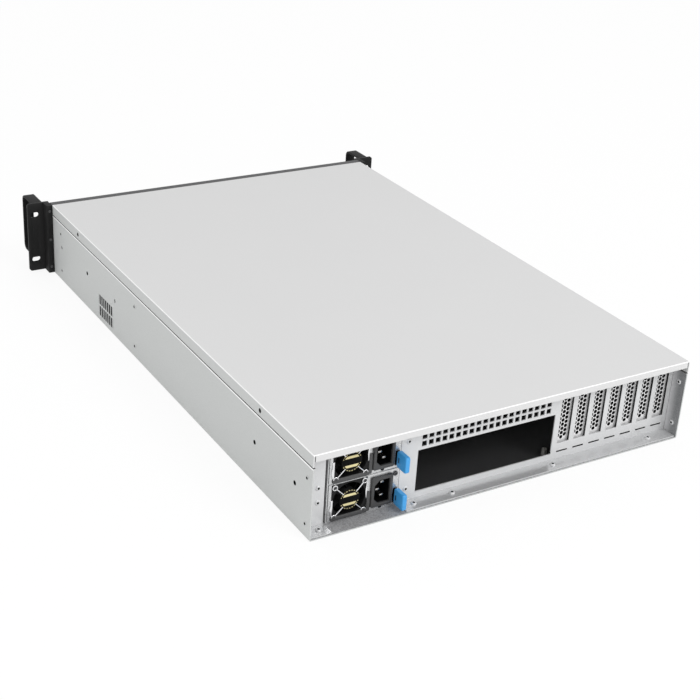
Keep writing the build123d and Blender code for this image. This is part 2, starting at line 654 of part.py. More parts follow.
# Drive tray, modelled in a cell centred on x = 0 whose floor is at z = 0
TRAY_W = CELL_W - 2 * TRAY_SIDE_GAP
TRAY_H = CELL_H - TRAY_FLOOR_GAP - TRAY_FACE_TOP_GAP
Y_TRAY_FACE = Y_FRONT - TRAY_FACE_PROUD
Y_TRAY_BODY = Y_TRAY_FACE + TRAY_FACE_T
TRAY_L = Y_BAY_REAR - BACKPLANE_CONNECTOR_L - TRAY_END_GAP - Y_TRAY_BODY
TRAY_VENT_PITCH_X = (TRAY_W - 2 * TRAY_VENT_MARGIN + TRAY_VENT_GAP) / TRAY_VENT_COLUMNS
TRAY_VENT_W = TRAY_VENT_PITCH_X - TRAY_VENT_GAP
LEVER_BAR_W = TRAY_W - 2 * LEVER_BAR_MARGIN
RECESS_W = LEVER_BAR_W + 2 * RECESS_MARGIN
LEVER_BAR_X0 = -LEVER_BAR_W / 2

with BuildPart() as drive_tray:
    with BuildSketch(across(Y_TRAY_BODY)):
        with Locations((0, TRAY_FLOOR_GAP)):
            Rectangle(TRAY_W, TRAY_H, align=(Align.CENTER, Align.MIN))
    extrude(amount=TRAY_FACE_T)
    chamfer(drive_tray.edges().filter_by(Axis.Z).group_by(Axis.Y)[0], TRAY_EDGE)
    with BuildSketch(across(Y_TRAY_BODY + TRAY_L)):
        with Locations((0, TRAY_FLOOR_GAP)):
            Rectangle(TRAY_W, TRAY_WALL_H, align=(Align.CENTER, Align.MIN))
        with Locations((0, TRAY_FLOOR_GAP + TRAY_SHEET)):
            Rectangle(
                TRAY_W - 2 * TRAY_SHEET, TRAY_WALL_H, align=(Align.CENTER, Align.MIN), mode=Mode.SUBTRACT
            )
    extrude(amount=TRAY_L)
    # Air slots through the face, and the recess that the lever closes into
    with BuildSketch(across(Y_TRAY_BODY)):
        with Locations((0, TRAY_FLOOR_GAP + TRAY_VENT_Z)):
            with GridLocations(TRAY_VENT_PITCH_X, TRAY_VENT_PITCH_Z, TRAY_VENT_COLUMNS, 2):
                Rectangle(TRAY_VENT_W, TRAY_VENT_H)
    extrude(amount=TRAY_FACE_T, mode=Mode.SUBTRACT)
    with BuildSketch(across(Y_TRAY_FACE + RECESS_DEPTH)):
        with Locations((0, LEVER_BAR_Z)):
            Rectangle(RECESS_W, LEVER_BAR_H + 2 * RECESS_MARGIN)
    extrude(amount=RECESS_DEPTH, mode=Mode.SUBTRACT)

# Tray lever: a bar that lies in the recess and swings out about its left-hand end
TRAY_LEVER_PIVOT_X = LEVER_BAR_X0 + LEVER_BAR_PIVOT
TRAY_LEVER_PIVOT_Y = Y_TRAY_FACE + RECESS_DEPTH - SEAT_GAP - LEVER_BAR_KNUCKLE_R

with BuildPart() as tray_lever:
    with BuildSketch(Plane.XY.offset(LEVER_BAR_Z - LEVER_BAR_H / 2)):
        with Locations((TRAY_LEVER_PIVOT_X, TRAY_LEVER_PIVOT_Y)):
            Circle(LEVER_BAR_KNUCKLE_R)
        with Locations((TRAY_LEVER_PIVOT_X, TRAY_LEVER_PIVOT_Y + LEVER_BAR_KNUCKLE_R)):
            Rectangle(LEVER_BAR_W - LEVER_BAR_PIVOT, LEVER_BAR_T, align=(Align.MIN, Align.MAX))
    extrude(amount=LEVER_BAR_H)

cell_places = GridLocations(CELL_PITCH_X, CELL_PITCH_Z, BAY_COLUMNS, BAY_ROWS).local_locations
for number, place in enumerate(cell_places, start=1):
    cell_at = Location((place.position.X, 0, BAY_MID_Z + place.position.Y - CELL_H / 2))
    for name, piece in (("drive_tray", drive_tray.part), ("tray_lever", tray_lever.part)):
        placed = piece.moved(cell_at)
        placed.label = f"{name}_{number}"
        export_step(placed, f"parts/{name}_{number}.step")

# Drive backplane: a board on the back of the cage, with a connector and an air window per cell
with BuildPart() as backplane:
    with BuildSketch(across(Y_BAY_REAR + BOARD_T)):
        with Locations((0, BAY_MID_Z)):
            Rectangle(BAY_CAGE_W, BAY_CAGE_H - 2 * BACKPLANE_INSET)
            with GridLocations(CELL_PITCH_X, CELL_PITCH_Z, BAY_COLUMNS, BAY_ROWS):
                with Locations((0, BACKPLANE_VENT_RISE)):
                    Rectangle(*BACKPLANE_VENT, mode=Mode.SUBTRACT)
    extrude(amount=BOARD_T)
    with BuildSketch(across(Y_BAY_REAR)):
        with Locations((0, BAY_MID_Z)):
            with GridLocations(CELL_PITCH_X, CELL_PITCH_Z, BAY_COLUMNS, BAY_ROWS):
                with Locations((0, -BACKPLANE_CONNECTOR_DROP)):
                    Rectangle(BACKPLANE_CONNECTOR_W, BACKPLANE_CONNECTOR_H)
    extrude(amount=BACKPLANE_CONNECTOR_L)
backplane.part.label = "backplane"
export_step(backplane.part, "parts/backplane.step")

FAN_SIZE = COVER_UNDER - FAN_HEADROOM - Z_FLOOR - BASE_SHEET
FAN_BORE_R = FAN_SIZE / 2 - FAN_RIM
FAN_MID_Z = Z_FLOOR + BASE_SHEET + FAN_SIZE / 2
FAN_WALL_Y = Y_BAY_REAR + FAN_WALL_TO_BAYS
FAN_WALL_W = 2 * (WALL_IN - FAN_WALL_SIDE_GAP)
FAN_WALL_H = COVER_UNDER - FAN_WALL_HEADROOM - Z_FLOOR

# Fan wall: an upright sheet with a round hole per fan, and a foot that the fans stand on
with BuildPart() as fan_wall:
    with BuildSketch(across(FAN_WALL_Y + BASE_SHEET)):
        with Locations((0, Z_FLOOR)):
            Rectangle(FAN_WALL_W, FAN_WALL_H, align=(Align.CENTER, Align.MIN))
        with Locations((0, FAN_MID_Z)):
            with GridLocations(FAN_PITCH, 0, FAN_COUNT, 1):
                RegularPolygon(
                    FAN_BORE_R,
                    FAN_TUBE_SIDES,
                    major_radius=False,
                    rotation=180 / FAN_TUBE_SIDES,
                    mode=Mode.SUBTRACT,
                )
    extrude(amount=BASE_SHEET)
    with BuildSketch(Plane.XY.offset(Z_FLOOR)):
        with Locations((0, FAN_WALL_Y)):
            Rectangle(FAN_WALL_W, FAN_WALL_FOOT, align=(Align.CENTER, Align.MIN))
    extrude(amount=BASE_SHEET)
fan_wall.part.label = "fan_wall"
export_step(fan_wall.part, "parts/fan_wall.step")

# System fan, modelled at x = 0: square flanges on a round tube, and the motor plate at the rear
Y_FAN_FRONT = FAN_WALL_Y + BASE_SHEET
Y_FAN_REAR = Y_FAN_FRONT + FAN_L

with BuildPart() as fan_frame:
    with BuildSketch(across(Y_FAN_REAR)):
        with Locations((0, FAN_MID_Z)):
            RegularPolygon(
                FAN_BORE_R + FAN_TUBE_WALL, FAN_TUBE_SIDES, major_radius=False, rotation=180 / FAN_TUBE_SIDES
            )
    extrude(amount=FAN_L)
    for y_flange in (Y_FAN_REAR, Y_FAN_FRONT + FAN_FLANGE_T):
        with BuildSketch(across(y_flange)):
            with Locations((0, FAN_MID_Z)):
                Rectangle(FAN_SIZE, FAN_SIZE)
        extrude(amount=FAN_FLANGE_T)
    with BuildSketch(across(Y_FAN_REAR)):
        with Locations((0, FAN_MID_Z)):
            RegularPolygon(FAN_BORE_R, ROUND_SIDES, major_radius=False)
    extrude(amount=FAN_L, mode=Mode.SUBTRACT)
    with BuildSketch(across(Y_FAN_REAR)):
        with Locations((0, FAN_MID_Z)):
            RegularPolygon(FAN_HUB_R, 2 * HUB_SIDES)
            for turn in (45, 135):
                Rectangle(2 * FAN_BORE_R + FAN_TUBE_WALL, FAN_STRUT_W, rotation=turn)
            RegularPolygon(
                SHAFT_R + SHAFT_CLEARANCE, SHAFT_HOLE_SIDES, major_radius=False, mode=Mode.SUBTRACT
            )
    extrude(amount=FAN_STRUT_T)

# The rotor is turned about Z, so that its shaft runs back into the motor plate
fan_rotor = make_rotor(
    0, FAN_MID_Z, 0, FAN_HUB_R, FAN_BORE_R - TIP_GAP, FAN_L - FAN_STRUT_T - 2 * ROTOR_GAP
)
Y_ROTOR_BACK = Y_FAN_REAR - FAN_STRUT_T - ROTOR_GAP

fan_places = GridLocations(FAN_PITCH, 0, FAN_COUNT, 1).local_locations
for number, place in enumerate(fan_places, start=1):
    placed = fan_frame.part.moved(Location((place.position.X, 0, 0)))
    placed.label = f"fan_frame_{number}"
    export_step(placed, f"parts/fan_frame_{number}.step")
    placed = fan_rotor.moved(Location((place.position.X, Y_ROTOR_BACK, 0), (0, 0, 180)))
    placed.label = f"fan_rotor_{number}"
    export_step(placed, f"parts/fan_rotor_{number}.step")

# Hexagonal standoffs for the motherboard, in the columns that the supply cage leaves free
STANDOFF_X0 = STANDOFF_FROM_WALL - WALL_IN
STANDOFF_Y0 = Y_PANEL - STANDOFF_FROM_PANEL
ROOM_FOR_COLUMNS = PSU_X - PSU_CAGE_W / 2 - STANDOFF_TO_PSU - STANDOFF_X0

with BuildPart() as standoffs:
    with BuildSketch(Plane.XY.offset(Z_FLOOR)):
        for column in (0, ATX_COLUMN_2, ATX_COLUMN_3):
            if column > ROOM_FOR_COLUMNS:
                continue
            for row in (0, ATX_ROW_2, ATX_ROW_3):
                with Locations((STANDOFF_X0 + column, STANDOFF_Y0 - row)):
                    RegularPolygon(STANDOFF_AF / 2, 6, major_radius=False)
                    if row == ATX_ROW_2 or column == ATX_COLUMN_2:
                        RegularPolygon(
                            STANDOFF_HOLE_R, STANDOFF_HOLE_SIDES, major_radius=False, mode=Mode.SUBTRACT
                        )
                    else:
                        Circle(STANDOFF_HOLE_R, mode=Mode.SUBTRACT)
    extrude(amount=STANDOFF_H)
standoffs.part.label = "standoffs"
export_step(standoffs.part, "parts/standoffs.step")

# Front frame: a ring round the drive bays, with the bar that shows along the front of the top
with BuildPart() as front_frame:
    with BuildSketch(across(Y_COVER_FRONT)):
        with Locations((0, Z_FLOOR)):
            Rectangle(2 * PANEL_UPPER_HALF_W, SEAM_Z - Z_FLOOR, align=(Align.CENTER, Align.MIN))
        with Locations((0, SEAM_Z)):
            Rectangle(BODY_W, COVER_FLANGE, align=(Align.CENTER, Align.MIN))
        with Locations((0, BAY_MID_Z)):
            Rectangle(
                BAY_CAGE_W - 2 * BAY_SHEET, BAY_CAGE_H - 2 * BAY_SHEET, mode=Mode.SUBTRACT
            )
    extrude(amount=FRONT_STRIP)
    frame_top = front_frame.edges().group_by(Axis.Z)[-1]
    fillet(frame_top.filter_by(Axis.Y) + frame_top.filter_by(Axis.X).sort_by(Axis.Y)[:1], RIM_R)
front_frame.part.label = "front_frame"
export_step(front_frame.part, "parts/front_frame.step")

# Rack ears: a slotted plate, and the box beside the wall that holds the buttons
Y_EAR_FRONT = Y_COVER_FRONT - EAR_BOX_DEPTH
EAR_TOP = BODY_H - EAR_TOP_GAP
EAR_H = EAR_TOP - EAR_BOTTOM
EAR_MID_Z = EAR_BOTTOM + EAR_H / 2
EAR_BOX_OUT = HALF_W + EAR_BOX_W
BUTTON_X = HALF_W + EAR_BOX_W / 2
BUTTON_WELL = BUTTON_L - BUTTON_PROUD + BUTTON_TRAVEL + SEAT_GAP

for side, side_name in ((1, "right"), (-1, "left")):
    with BuildPart() as ear:
        with BuildSketch(across(Y_EAR_FRONT + EAR_T)) as plate:
            with Locations((side * (HALF_W + EAR_W / 2), EAR_MID_Z)):
                Rectangle(EAR_W, EAR_H)
            chamfer(plate.vertices().sort_by(Axis.X, reverse=side > 0)[:2], EAR_CORNER)
            with Locations((side * (HALF_W + EAR_W - EAR_SLOT_INSET), EAR_MID_Z)):
                with GridLocations(0, EAR_SLOT_SPACING_Z, 1, 2):
                    SlotOverall(EAR_SLOT_L, EAR_SLOT_W, mode=Mode.SUBTRACT)
        extrude(amount=EAR_T)
        with BuildSketch(across(Y_COVER_FRONT)):
            with Locations((side * (HALF_W + EAR_BOX_W / 2), EAR_MID_Z)):
                Rectangle(EAR_BOX_W, EAR_H)
        extrude(amount=EAR_BOX_DEPTH)
        if side > 0:
            with BuildSketch(across(Y_EAR_FRONT + BUTTON_WELL)):
                with Locations((BUTTON_X, POWER_BUTTON_Z), (BUTTON_X, RESET_BUTTON_Z)):
                    RegularPolygon(BUTTON_R + BUTTON_CLEARANCE, BUTTON_SIDES)
            extrude(amount=BUTTON_WELL, mode=Mode.SUBTRACT)
    ear.part.label = f"ear_{side_name}"
    export_step(ear.part, f"parts/ear_{side_name}.step")

    # Pull handle: a flat bar bent into a U, its two legs closed against the plate
    with BuildPart() as handle:
        with BuildSketch(Plane.YZ.offset(side * EAR_BOX_OUT)) as bow:
            with Locations((Y_EAR_FRONT, HANDLE_BOTTOM_Z)):
                Rectangle(
                    HANDLE_REACH, EAR_TOP - HANDLE_BOTTOM_Z, align=(Align.MAX, Align.MIN)
                )
            fillet(bow.vertices().group_by(Axis.X)[0], HANDLE_CORNER_R)
            with Locations((Y_EAR_FRONT, HANDLE_BOTTOM_Z + HANDLE_T)):
                RectangleRounded(
                    2 * (HANDLE_REACH - HANDLE_T),
                    EAR_TOP - HANDLE_BOTTOM_Z - 2 * HANDLE_T,
                    HANDLE_CORNER_R - HANDLE_T,
                    align=(Align.CENTER, Align.MIN),
                    mode=Mode.SUBTRACT,
                )
        extrude(amount=side * HANDLE_W)
    handle.part.label = f"handle_{side_name}"
    export_step(handle.part, f"parts/handle_{side_name}.step")

# Push buttons in the right-hand ear
for name, z in (("power_button", POWER_BUTTON_Z), ("reset_button", RESET_BUTTON_Z)):
    with BuildPart() as button:
        with BuildSketch(across(Y_EAR_FRONT - BUTTON_PROUD + BUTTON_L)):
            with Locations((BUTTON_X, z)):
                RegularPolygon(BUTTON_R, BUTTON_SIDES)
        extrude(amount=BUTTON_L)
    button.part.label = name
    export_step(button.part, f"parts/{name}.step")
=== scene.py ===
import json
from math import cos, pi, radians, sin

import bmesh
import bpy
from mathutils import Matrix, Vector

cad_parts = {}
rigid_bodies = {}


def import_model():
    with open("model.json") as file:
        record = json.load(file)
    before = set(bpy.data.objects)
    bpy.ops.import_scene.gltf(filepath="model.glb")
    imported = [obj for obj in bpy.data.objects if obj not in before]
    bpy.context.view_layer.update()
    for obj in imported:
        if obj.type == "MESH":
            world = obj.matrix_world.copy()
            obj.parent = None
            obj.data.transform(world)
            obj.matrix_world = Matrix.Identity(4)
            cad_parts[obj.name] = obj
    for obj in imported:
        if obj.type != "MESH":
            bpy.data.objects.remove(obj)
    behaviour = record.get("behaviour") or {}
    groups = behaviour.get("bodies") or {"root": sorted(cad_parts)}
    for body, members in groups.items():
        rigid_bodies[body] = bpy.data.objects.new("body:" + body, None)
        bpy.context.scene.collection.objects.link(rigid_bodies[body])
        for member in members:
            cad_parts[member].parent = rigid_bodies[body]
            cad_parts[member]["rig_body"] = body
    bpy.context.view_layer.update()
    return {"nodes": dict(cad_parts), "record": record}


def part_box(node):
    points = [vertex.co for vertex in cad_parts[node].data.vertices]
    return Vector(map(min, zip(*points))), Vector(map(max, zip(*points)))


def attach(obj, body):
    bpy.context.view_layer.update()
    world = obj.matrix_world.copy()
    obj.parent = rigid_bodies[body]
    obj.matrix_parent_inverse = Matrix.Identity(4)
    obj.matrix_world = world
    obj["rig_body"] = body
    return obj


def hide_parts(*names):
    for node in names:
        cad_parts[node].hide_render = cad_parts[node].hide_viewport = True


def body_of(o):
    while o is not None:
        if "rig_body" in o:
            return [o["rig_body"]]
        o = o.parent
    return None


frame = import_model()
NODES = frame["nodes"]
SLOT_OF = {part["node"]: part["material_slot"] for part in frame["record"]["subparts"]}
MM = 0.001
WELD = 1e-6


def span(node):
    """Lowest and highest corners of a CAD node at rest, in millimetres."""
    return [[round(value / MM, 3) for value in corner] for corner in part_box(node)]


def middle(node):
    """Middle of a CAD node's box, in millimetres."""
    return [round((low + high) / 2, 3) for low, high in zip(*span(node))]


# Places in millimetres, read from the CAD nodes: +X is the right-hand side, +Y the rear
HALF_W, REAR = span("chassis_base")[1][:2]
TOP = span("top_cover")[1][2]
PANEL_FRONT = span("rear_panel")[0][1]
BAYS_REAR = span("drive_cage")[1][1]
PSU_FACE = span("psu_housing_1")[1][1]
PSU_MIDS = [middle(f"psu_housing_{number}")[2] for number in (1, 2)]
FAN_X, INLET_X, LEVER_X = (middle(f"psu_{name}_1")[0] for name in ("fan_frame", "inlet", "lever"))

# Sheets, and the places that follow from them
WALL_SHEET, PANEL_SHEET, COVER_FLANGE = 1.2, 1.2, 13.0
WALL_IN = HALF_W - WALL_SHEET
FLOOR = WALL_SHEET
PANEL = PANEL_FRONT + PANEL_SHEET
RECESS = PANEL - 4.0
SEAM = TOP - COVER_FLANGE
VENT_Y, VENT_Z = REAR - 474.0, 20.0
VENT_PITCH, VENT_SLOT_W, VENT_SLOT_H, VENT_ROW_RISE = 5.6, 3.0, 11.0, 7.0
TAB_SLOT_Z, TAB_SLOT_H = 10.0, 1.6
PIN_SPREAD, PIN_OFFSET, PIN_W, PIN_T = 7.0, 2.4, 4.0, 2.0


# Shader maths: a Wire is one output socket, and each operator adds the node that works it out
class Wire:
    def __init__(self, finish, socket):
        self.finish, self.socket = finish, socket

    def _maths(self, operation, first, second=None, clamp=False):
        values = {0: first} if second is None else {0: first, 1: second}
        return self.finish.node("ShaderNodeMath", {"operation": operation, "use_clamp": clamp}, values)

    def __add__(self, other):
        return self._maths("ADD", self, other)

    __radd__ = __add__

    def __sub__(self, other):
        return self._maths("SUBTRACT", self, other)

    def __rsub__(self, other):
        return self._maths("SUBTRACT", other, self)

    def __mul__(self, other):
        return self._maths("MULTIPLY", self, other)

    __rmul__ = __mul__

    def __abs__(self):
        return self._maths("ABSOLUTE", self)

    def __pow__(self, other):
        return self._maths("POWER", self, other)

    def __gt__(self, other):
        return self._maths("GREATER_THAN", self, other)

    def __lt__(self, other):
        return self._maths("LESS_THAN", self, other)

    def clamped(self):
        return self._maths("ADD", self, 0.0, clamp=True)

    def fraction(self):
        return self._maths("FRACT", self)

    def sine(self):
        return self._maths("SINE", self)

    def step(self, low, high):
        """0 below low, 1 above high, and smooth between."""
        settings = {"interpolation_type": "SMOOTHSTEP"}
        values = {"Value": self, "From Min": low, "From Max": high}
        return self.finish.node("ShaderNodeMapRange", settings, values, "Result")


class Finish:
    """A node material: base colour, roughness, metalness and the relief of its surface."""

    def __init__(self, name):
        self.material = bpy.data.materials.new(name)
        self.material.use_nodes = True
        self.tree = self.material.node_tree
        self.shader = self.tree.nodes["Principled BSDF"]
        self.made = 0

    def node(self, kind, settings=None, values=None, output=0):
        """Adds a node, sets its options first and then its inputs, and gives the output asked for."""
        added = self.tree.nodes.new(kind)
        added.location = (-220 * (1 + self.made % 9), -190 * (self.made // 9))
        self.made += 1
        for key, value in (settings or {}).items():
            setattr(added, key, value)
        for key, value in (values or {}).items():
            self.feed(added.inputs[key], value)
        return Wire(self, added.outputs[output])

    def feed(self, socket, value):
        if isinstance(value, Wire):
            self.tree.links.new(value.socket, socket)
        elif hasattr(value, "__len__") and socket.type == "RGBA" and len(value) == 3:
            socket.default_value = (*value, 1.0)
        else:
            socket.default_value = value

    def place(self, scale=(1.0, 1.0, 1.0)):
        """Object coordinates in millimetres, stretched by scale."""
        point = self.node("ShaderNodeTexCoord", None, None, "Object")
        stretch = tuple(s / MM for s in scale)
        return self.node("ShaderNodeVectorMath", {"operation": "MULTIPLY"}, {0: point, 1: stretch})

    def split(self, vector):
        """The three parts of a vector."""
        parts = self.node("ShaderNodeSeparateXYZ", None, {0: vector}).socket.node.outputs
        return tuple(Wire(self, parts[n]) for n in range(3))

    def axes(self):
        return self.split(self.place())

    def facing(self):
        return self.split(self.node("ShaderNodeNewGeometry", None, None, "True Normal"))

    def grain(self, size, scale=(1.0, 1.0, 1.0), detail=2.0, rough=0.5):
        """Noise whose features are size millimetres across, from 0 to 1."""
        values = {"Vector": self.place(scale), "Scale": 1.0 / size, "Detail": detail, "Roughness": rough}
        return self.node("ShaderNodeTexNoise", None, values, "Fac")

    def cells(self, size):
        """Distance to the middle of the nearest of cells about size millimetres across."""
        values = {"Vector": self.place(), "Scale": 1.0 / size}
        return self.node("ShaderNodeTexVoronoi", None, values, "Distance")

    def mix(self, share, first, second):
        node = self.node("ShaderNodeMix", {"data_type": "RGBA"}).socket.node
        self.feed(node.inputs["Factor"], share)
        self.feed(node.inputs[6], first)
        self.feed(node.inputs[7], second)
        return Wire(self, node.outputs[2])

    def relief(self, height, depth, strength=1.0):
        """Bump from a height between 0 and 1 that stands depth millimetres high."""
        values = {"Height": height, "Distance": depth * MM, "Strength": strength}
        return self.node("ShaderNodeBump", None, values)

    def set(self, **inputs):
        for key, value in inputs.items():
            self.feed(self.shader.inputs[key.replace("_", " ")], value)
        return self


def grey(value):
    return (value, value, value)


def within(value, low, high, soft=0.05):
    """1 where value lies between low and high, in millimetres."""
    return value.step(low - soft, low + soft) * (1 - value.step(high - soft, high + soft))


def about(value, centre, reach, soft=0.05):
    """1 where value lies no further than reach from centre, in millimetres."""
    return within(value, centre - reach, centre + reach, soft)


# The paint of the cover's sides and of the base, painted darker than the cover's top as shade, and the dark
# of gaps that little light gets into
SHADED_SIDE_PAINT = (0.50, 0.513, 0.507), (0.55, 0.563, 0.557)
SHADE = grey(0.012)


def cover_paint():
    """Fine speckled paint, lighter on top than on the sides, whose darker tone is painted shade."""
    made = Finish("cover_paint")
    x, y, z = made.axes()
    speckle = made.grain(0.55, detail=3.0)
    drift = made.grain(90.0, detail=1.0)
    tone = made.mix(speckle.step(0.3, 0.7), grey(0.60), (0.66, 0.66, 0.663))
    tone = made.mix(drift * 0.12, tone, (0.72, 0.72, 0.71))
    # Painted shade: the sides take a darker tone than the top
    upright = abs(made.facing()[0]) > 0.6
    tone = made.mix(upright, tone, made.mix(speckle.step(0.3, 0.7), *SHADED_SIDE_PAINT))
    # The rounded rim catches the light
    rim_drop, rim_reach = 0.75, 0.8
    rim = (z > TOP - rim_drop) * ((abs(x) > HALF_W - rim_reach) + (y > REAR - rim_reach)).clamped()
    tone = made.mix(rim, tone, grey(0.9))
    # The relief slots at the ends of the lip lie in shade
    slot_near, slot_far = 1.1, 2.4
    slot = upright * within(abs(x), HALF_W - slot_far, HALF_W - slot_near) * (y > REAR - slot_near)
    tone = made.mix(slot, tone, SHADE)
    peel = made.grain(0.9, detail=2.0)
    return made.set(
        Base_Color=tone, Roughness=0.42 + 0.12 * speckle, Metallic=0.0, Normal=made.relief(peel, 0.035, 0.5)
    ).material


def base_paint():
    """The base's paint outside and bare drawn metal inside, both with painted light and shade, and the
    painted shade on the floor of the motherboard bay.
    """
    made = Finish("base_paint")
    x, y, z = made.axes()
    nx, ny, nz = made.facing()
    speckle = made.grain(0.6, detail=3.0)
    # The walls take the darker side tone of the cover: painted shade
    tone = made.mix(speckle.step(0.3, 0.7), *SHADED_SIDE_PAINT)
    # Painted shade: the floor of the motherboard bay near-black, with a fine weave
    bay_shade_front, bay_shade_left, bay_shade_right = -60.0, -211.0, 111.5
    floor_face = within(z, FLOOR - 0.05, FLOOR + 0.1) * (nz > 0.5)
    bay_floor_shade = floor_face * within(y, bay_shade_front, RECESS) * within(x, bay_shade_left, bay_shade_right)
    weave = made.grain(0.35).step(0.35, 0.75)
    tone = made.mix(bay_floor_shade, tone, made.mix(weave, (0.024, 0.024, 0.025), (0.046, 0.046, 0.047)))
    # Bare drawn metal on the inner walls, darkened as painted shade and made lighter beside the panel as
    # painted light, and on the floor of the rear recess, darkened as painted shade
    drawn = made.grain(1.5, (1.0, 1.0, 12.0), detail=4.0, rough=0.65).step(0.3, 0.7)
    inside = (abs(x) < WALL_IN + 0.1) * (abs(nx) > 0.5)
    tone = made.mix(inside, tone, made.mix(drawn, (0.14, 0.145, 0.15), (0.30, 0.305, 0.31)))
    fade = 12.0
    lit_beside_panel = inside * (y > RECESS) * (1 - y.step(PANEL, PANEL + fade))
    tone = made.mix(lit_beside_panel * 0.85, tone, (0.62, 0.62, 0.63))
    recess = floor_face * (y > RECESS)
    tone = made.mix(recess, tone, made.mix(drawn, (0.22, 0.22, 0.225), (0.42, 0.42, 0.43)))
    # The step under the cover's flange: shade in the gap, and a painted highlight on the edge below it
    gap_drop, highlight_drop, step_reach = 0.4, 1.9, 10.0
    tone = made.mix((z > SEAM - gap_drop) * (abs(x) > HALF_W - step_reach), tone, SHADE)
    edge = within(z, SEAM - highlight_drop, SEAM - gap_drop, 0.02) * (abs(x) > HALF_W - 0.1)
    tone = made.mix(edge, tone, grey(0.95))
    # The vent slots' cut edges, and a band round them, are painted dark as shade
    vents_reach_y, vents_reach_z, shade_band = 21.0, 13.0, 0.5
    around = (abs(x) > WALL_IN) * about(z, VENT_Z, vents_reach_z) * about(y, VENT_Y, vents_reach_y)
    cut = around * (abs(nx) < 0.5)
    off_slot = abs(((y - VENT_Y) * (1 / VENT_PITCH) + 0.5).fraction() - 0.5) * VENT_PITCH
    off_row = abs(abs(z - VENT_Z) - VENT_ROW_RISE)
    rim = around * (off_slot < VENT_SLOT_W / 2 + shade_band) * (off_row < VENT_SLOT_H / 2 + shade_band)
    tone = made.mix((cut + rim * 0.75).clamped(), tone, grey(0.008))
    return made.set(
        Base_Color=tone, Roughness=0.46 + 0.1 * speckle, Normal=made.relief(made.grain(0.9), 0.035, 0.5)
    ).material


def zinc(
    name, low=(0.60, 0.605, 0.61), high=(0.70, 0.705, 0.71), metal=0.3, rough=0.34, painted_shade_edges=False,
    size=1.6, brushed=(1.0, 1.0, 14.0),
):
    """Zinc-plated sheet: fine drawn lines, faint flowers of the plating, and shade in its gaps."""
    made = Finish(name)
    x, y, z = made.axes()
    nx, ny, nz = made.facing()
    lines = made.grain(size, brushed, detail=4.0, rough=0.62)
    flower = made.cells(9.0)
    tone = made.mix(lines.step(0.25, 0.75), low, high)
    tone = made.mix(flower * 0.12, tone, (0.82, 0.82, 0.83))
    # Painted shade: the up-facing floor lip in the recess is darker than the upright sheet; it is shinier too
    lip_top = 3.0
    lip = (nz > 0.5) * (z < lip_top) * (y > RECESS)
    tone = made.mix(lip * 0.3, tone, (0.40, 0.40, 0.41))
    # Painted shade on the drive bays, and darker still on the sides of their cage, seen through the vent
    # slots
    bays = y < BAYS_REAR + 1.0
    cage_side = 208.0
    tone = made.mix(bays, tone, (0.035, 0.035, 0.036))
    tone = made.mix(bays * (abs(x) > cage_side), tone, grey(0.004))
    # Painted shade on the edges of the tab slots, and of the slots that the covers close
    slots_right = -70.0
    edges = (abs(nx) > 0.6) * within(y, PANEL_FRONT - 0.05, PANEL - 0.05, 0.02) * (x < slots_right)
    tabs = within(y, PANEL_FRONT - 0.1, PANEL - 0.05, 0.02)
    tabs = tabs * about(z, TAB_SLOT_Z, TAB_SLOT_H / 2 + 0.05, 0.02)
    tone = made.mix((tabs + edges).clamped(), tone, grey(0.01))
    # Painted shade on every face that faces neither front nor rear, such as the strips' folds
    if painted_shade_edges:
        tone = made.mix(abs(ny) < 0.5, tone, grey(0.01))
    return made.set(
        Base_Color=tone, Metallic=metal + 0.1 * lip, Roughness=rough + 0.16 * lines - 0.18 * lip,
        Normal=made.relief(lines, 0.012, 0.5),
    ).material


def powder_coat(name, low, high, rough=0.5, peel_size=0.7, metal=0.0, shine=0.5):
    """Matt coat with the fine orange peel of baked powder."""
    made = Finish(name)
    peel = made.grain(peel_size, detail=3.0)
    tone = made.mix(peel.step(0.3, 0.75), low, high)
    return made.set(
        Base_Color=tone, Metallic=metal, Roughness=rough + 0.14 * peel, Specular_IOR_Level=shine,
        Normal=made.relief(peel, 0.06, 0.7),
    ).material


def moulded(name, low, high, rough=0.42, size=0.5, shine=0.35):
    """Moulded plastic with a fine spark-eroded texture."""
    made = Finish(name)
    spark = made.grain(size, detail=2.0)
    drift = made.grain(14.0, detail=1.0)
    tone = made.mix(spark.step(0.25, 0.8) * 0.6 + drift * 0.4, low, high)
    return made.set(
        Base_Color=tone, Roughness=rough + 0.12 * spark, Specular_IOR_Level=shine,
        Normal=made.relief(spark, 0.02, 0.5),
    ).material


def bright_wire():
    made = Finish("bright_wire")
    drawn = made.grain(0.7)
    tone = made.mix(drawn, (0.74, 0.74, 0.75), (0.9, 0.9, 0.91))
    return made.set(Base_Color=tone, Metallic=1.0, Roughness=0.16 + 0.12 * drawn).material


def disc_label(mid):
    """Glossy black disc with two plain pale gold bars and a broken gold ring, and no lettering."""
    made = Finish("disc_label")
    x, y, z = made.axes()
    off_x, off_z = x - FAN_X, z - mid
    radius = (off_x**2.0 + off_z**2.0) ** 0.5
    height = abs(off_z)
    bar_low, bar_high, bar_reach = 3.4, 6.0, 8.0
    bars = within(height, bar_low, bar_high, 0.15) * (radius < bar_reach)
    ring_in, ring_out, ring_clear, dash_count = 9.0, 9.9, 3.0, 22.0
    angle = made.node("ShaderNodeMath", {"operation": "ARCTAN2"}, {0: off_z, 1: off_x})
    dashes = (angle * dash_count).sine() > -0.2
    ring = within(radius, ring_in, ring_out, 0.1) * dashes * (height > ring_clear)
    gold = (bars + ring * 0.6) * (y > PSU_FACE + 1.0)
    grain = made.grain(0.5)
    tone = made.mix(grain.step(0.3, 0.8), grey(0.003), grey(0.007))
    tone = made.mix(gold, tone, made.mix(grain, (0.66, 0.58, 0.30), (0.78, 0.70, 0.42)))
    return made.set(Base_Color=tone, Roughness=0.4 + 0.15 * grain, Specular_IOR_Level=0.05).material


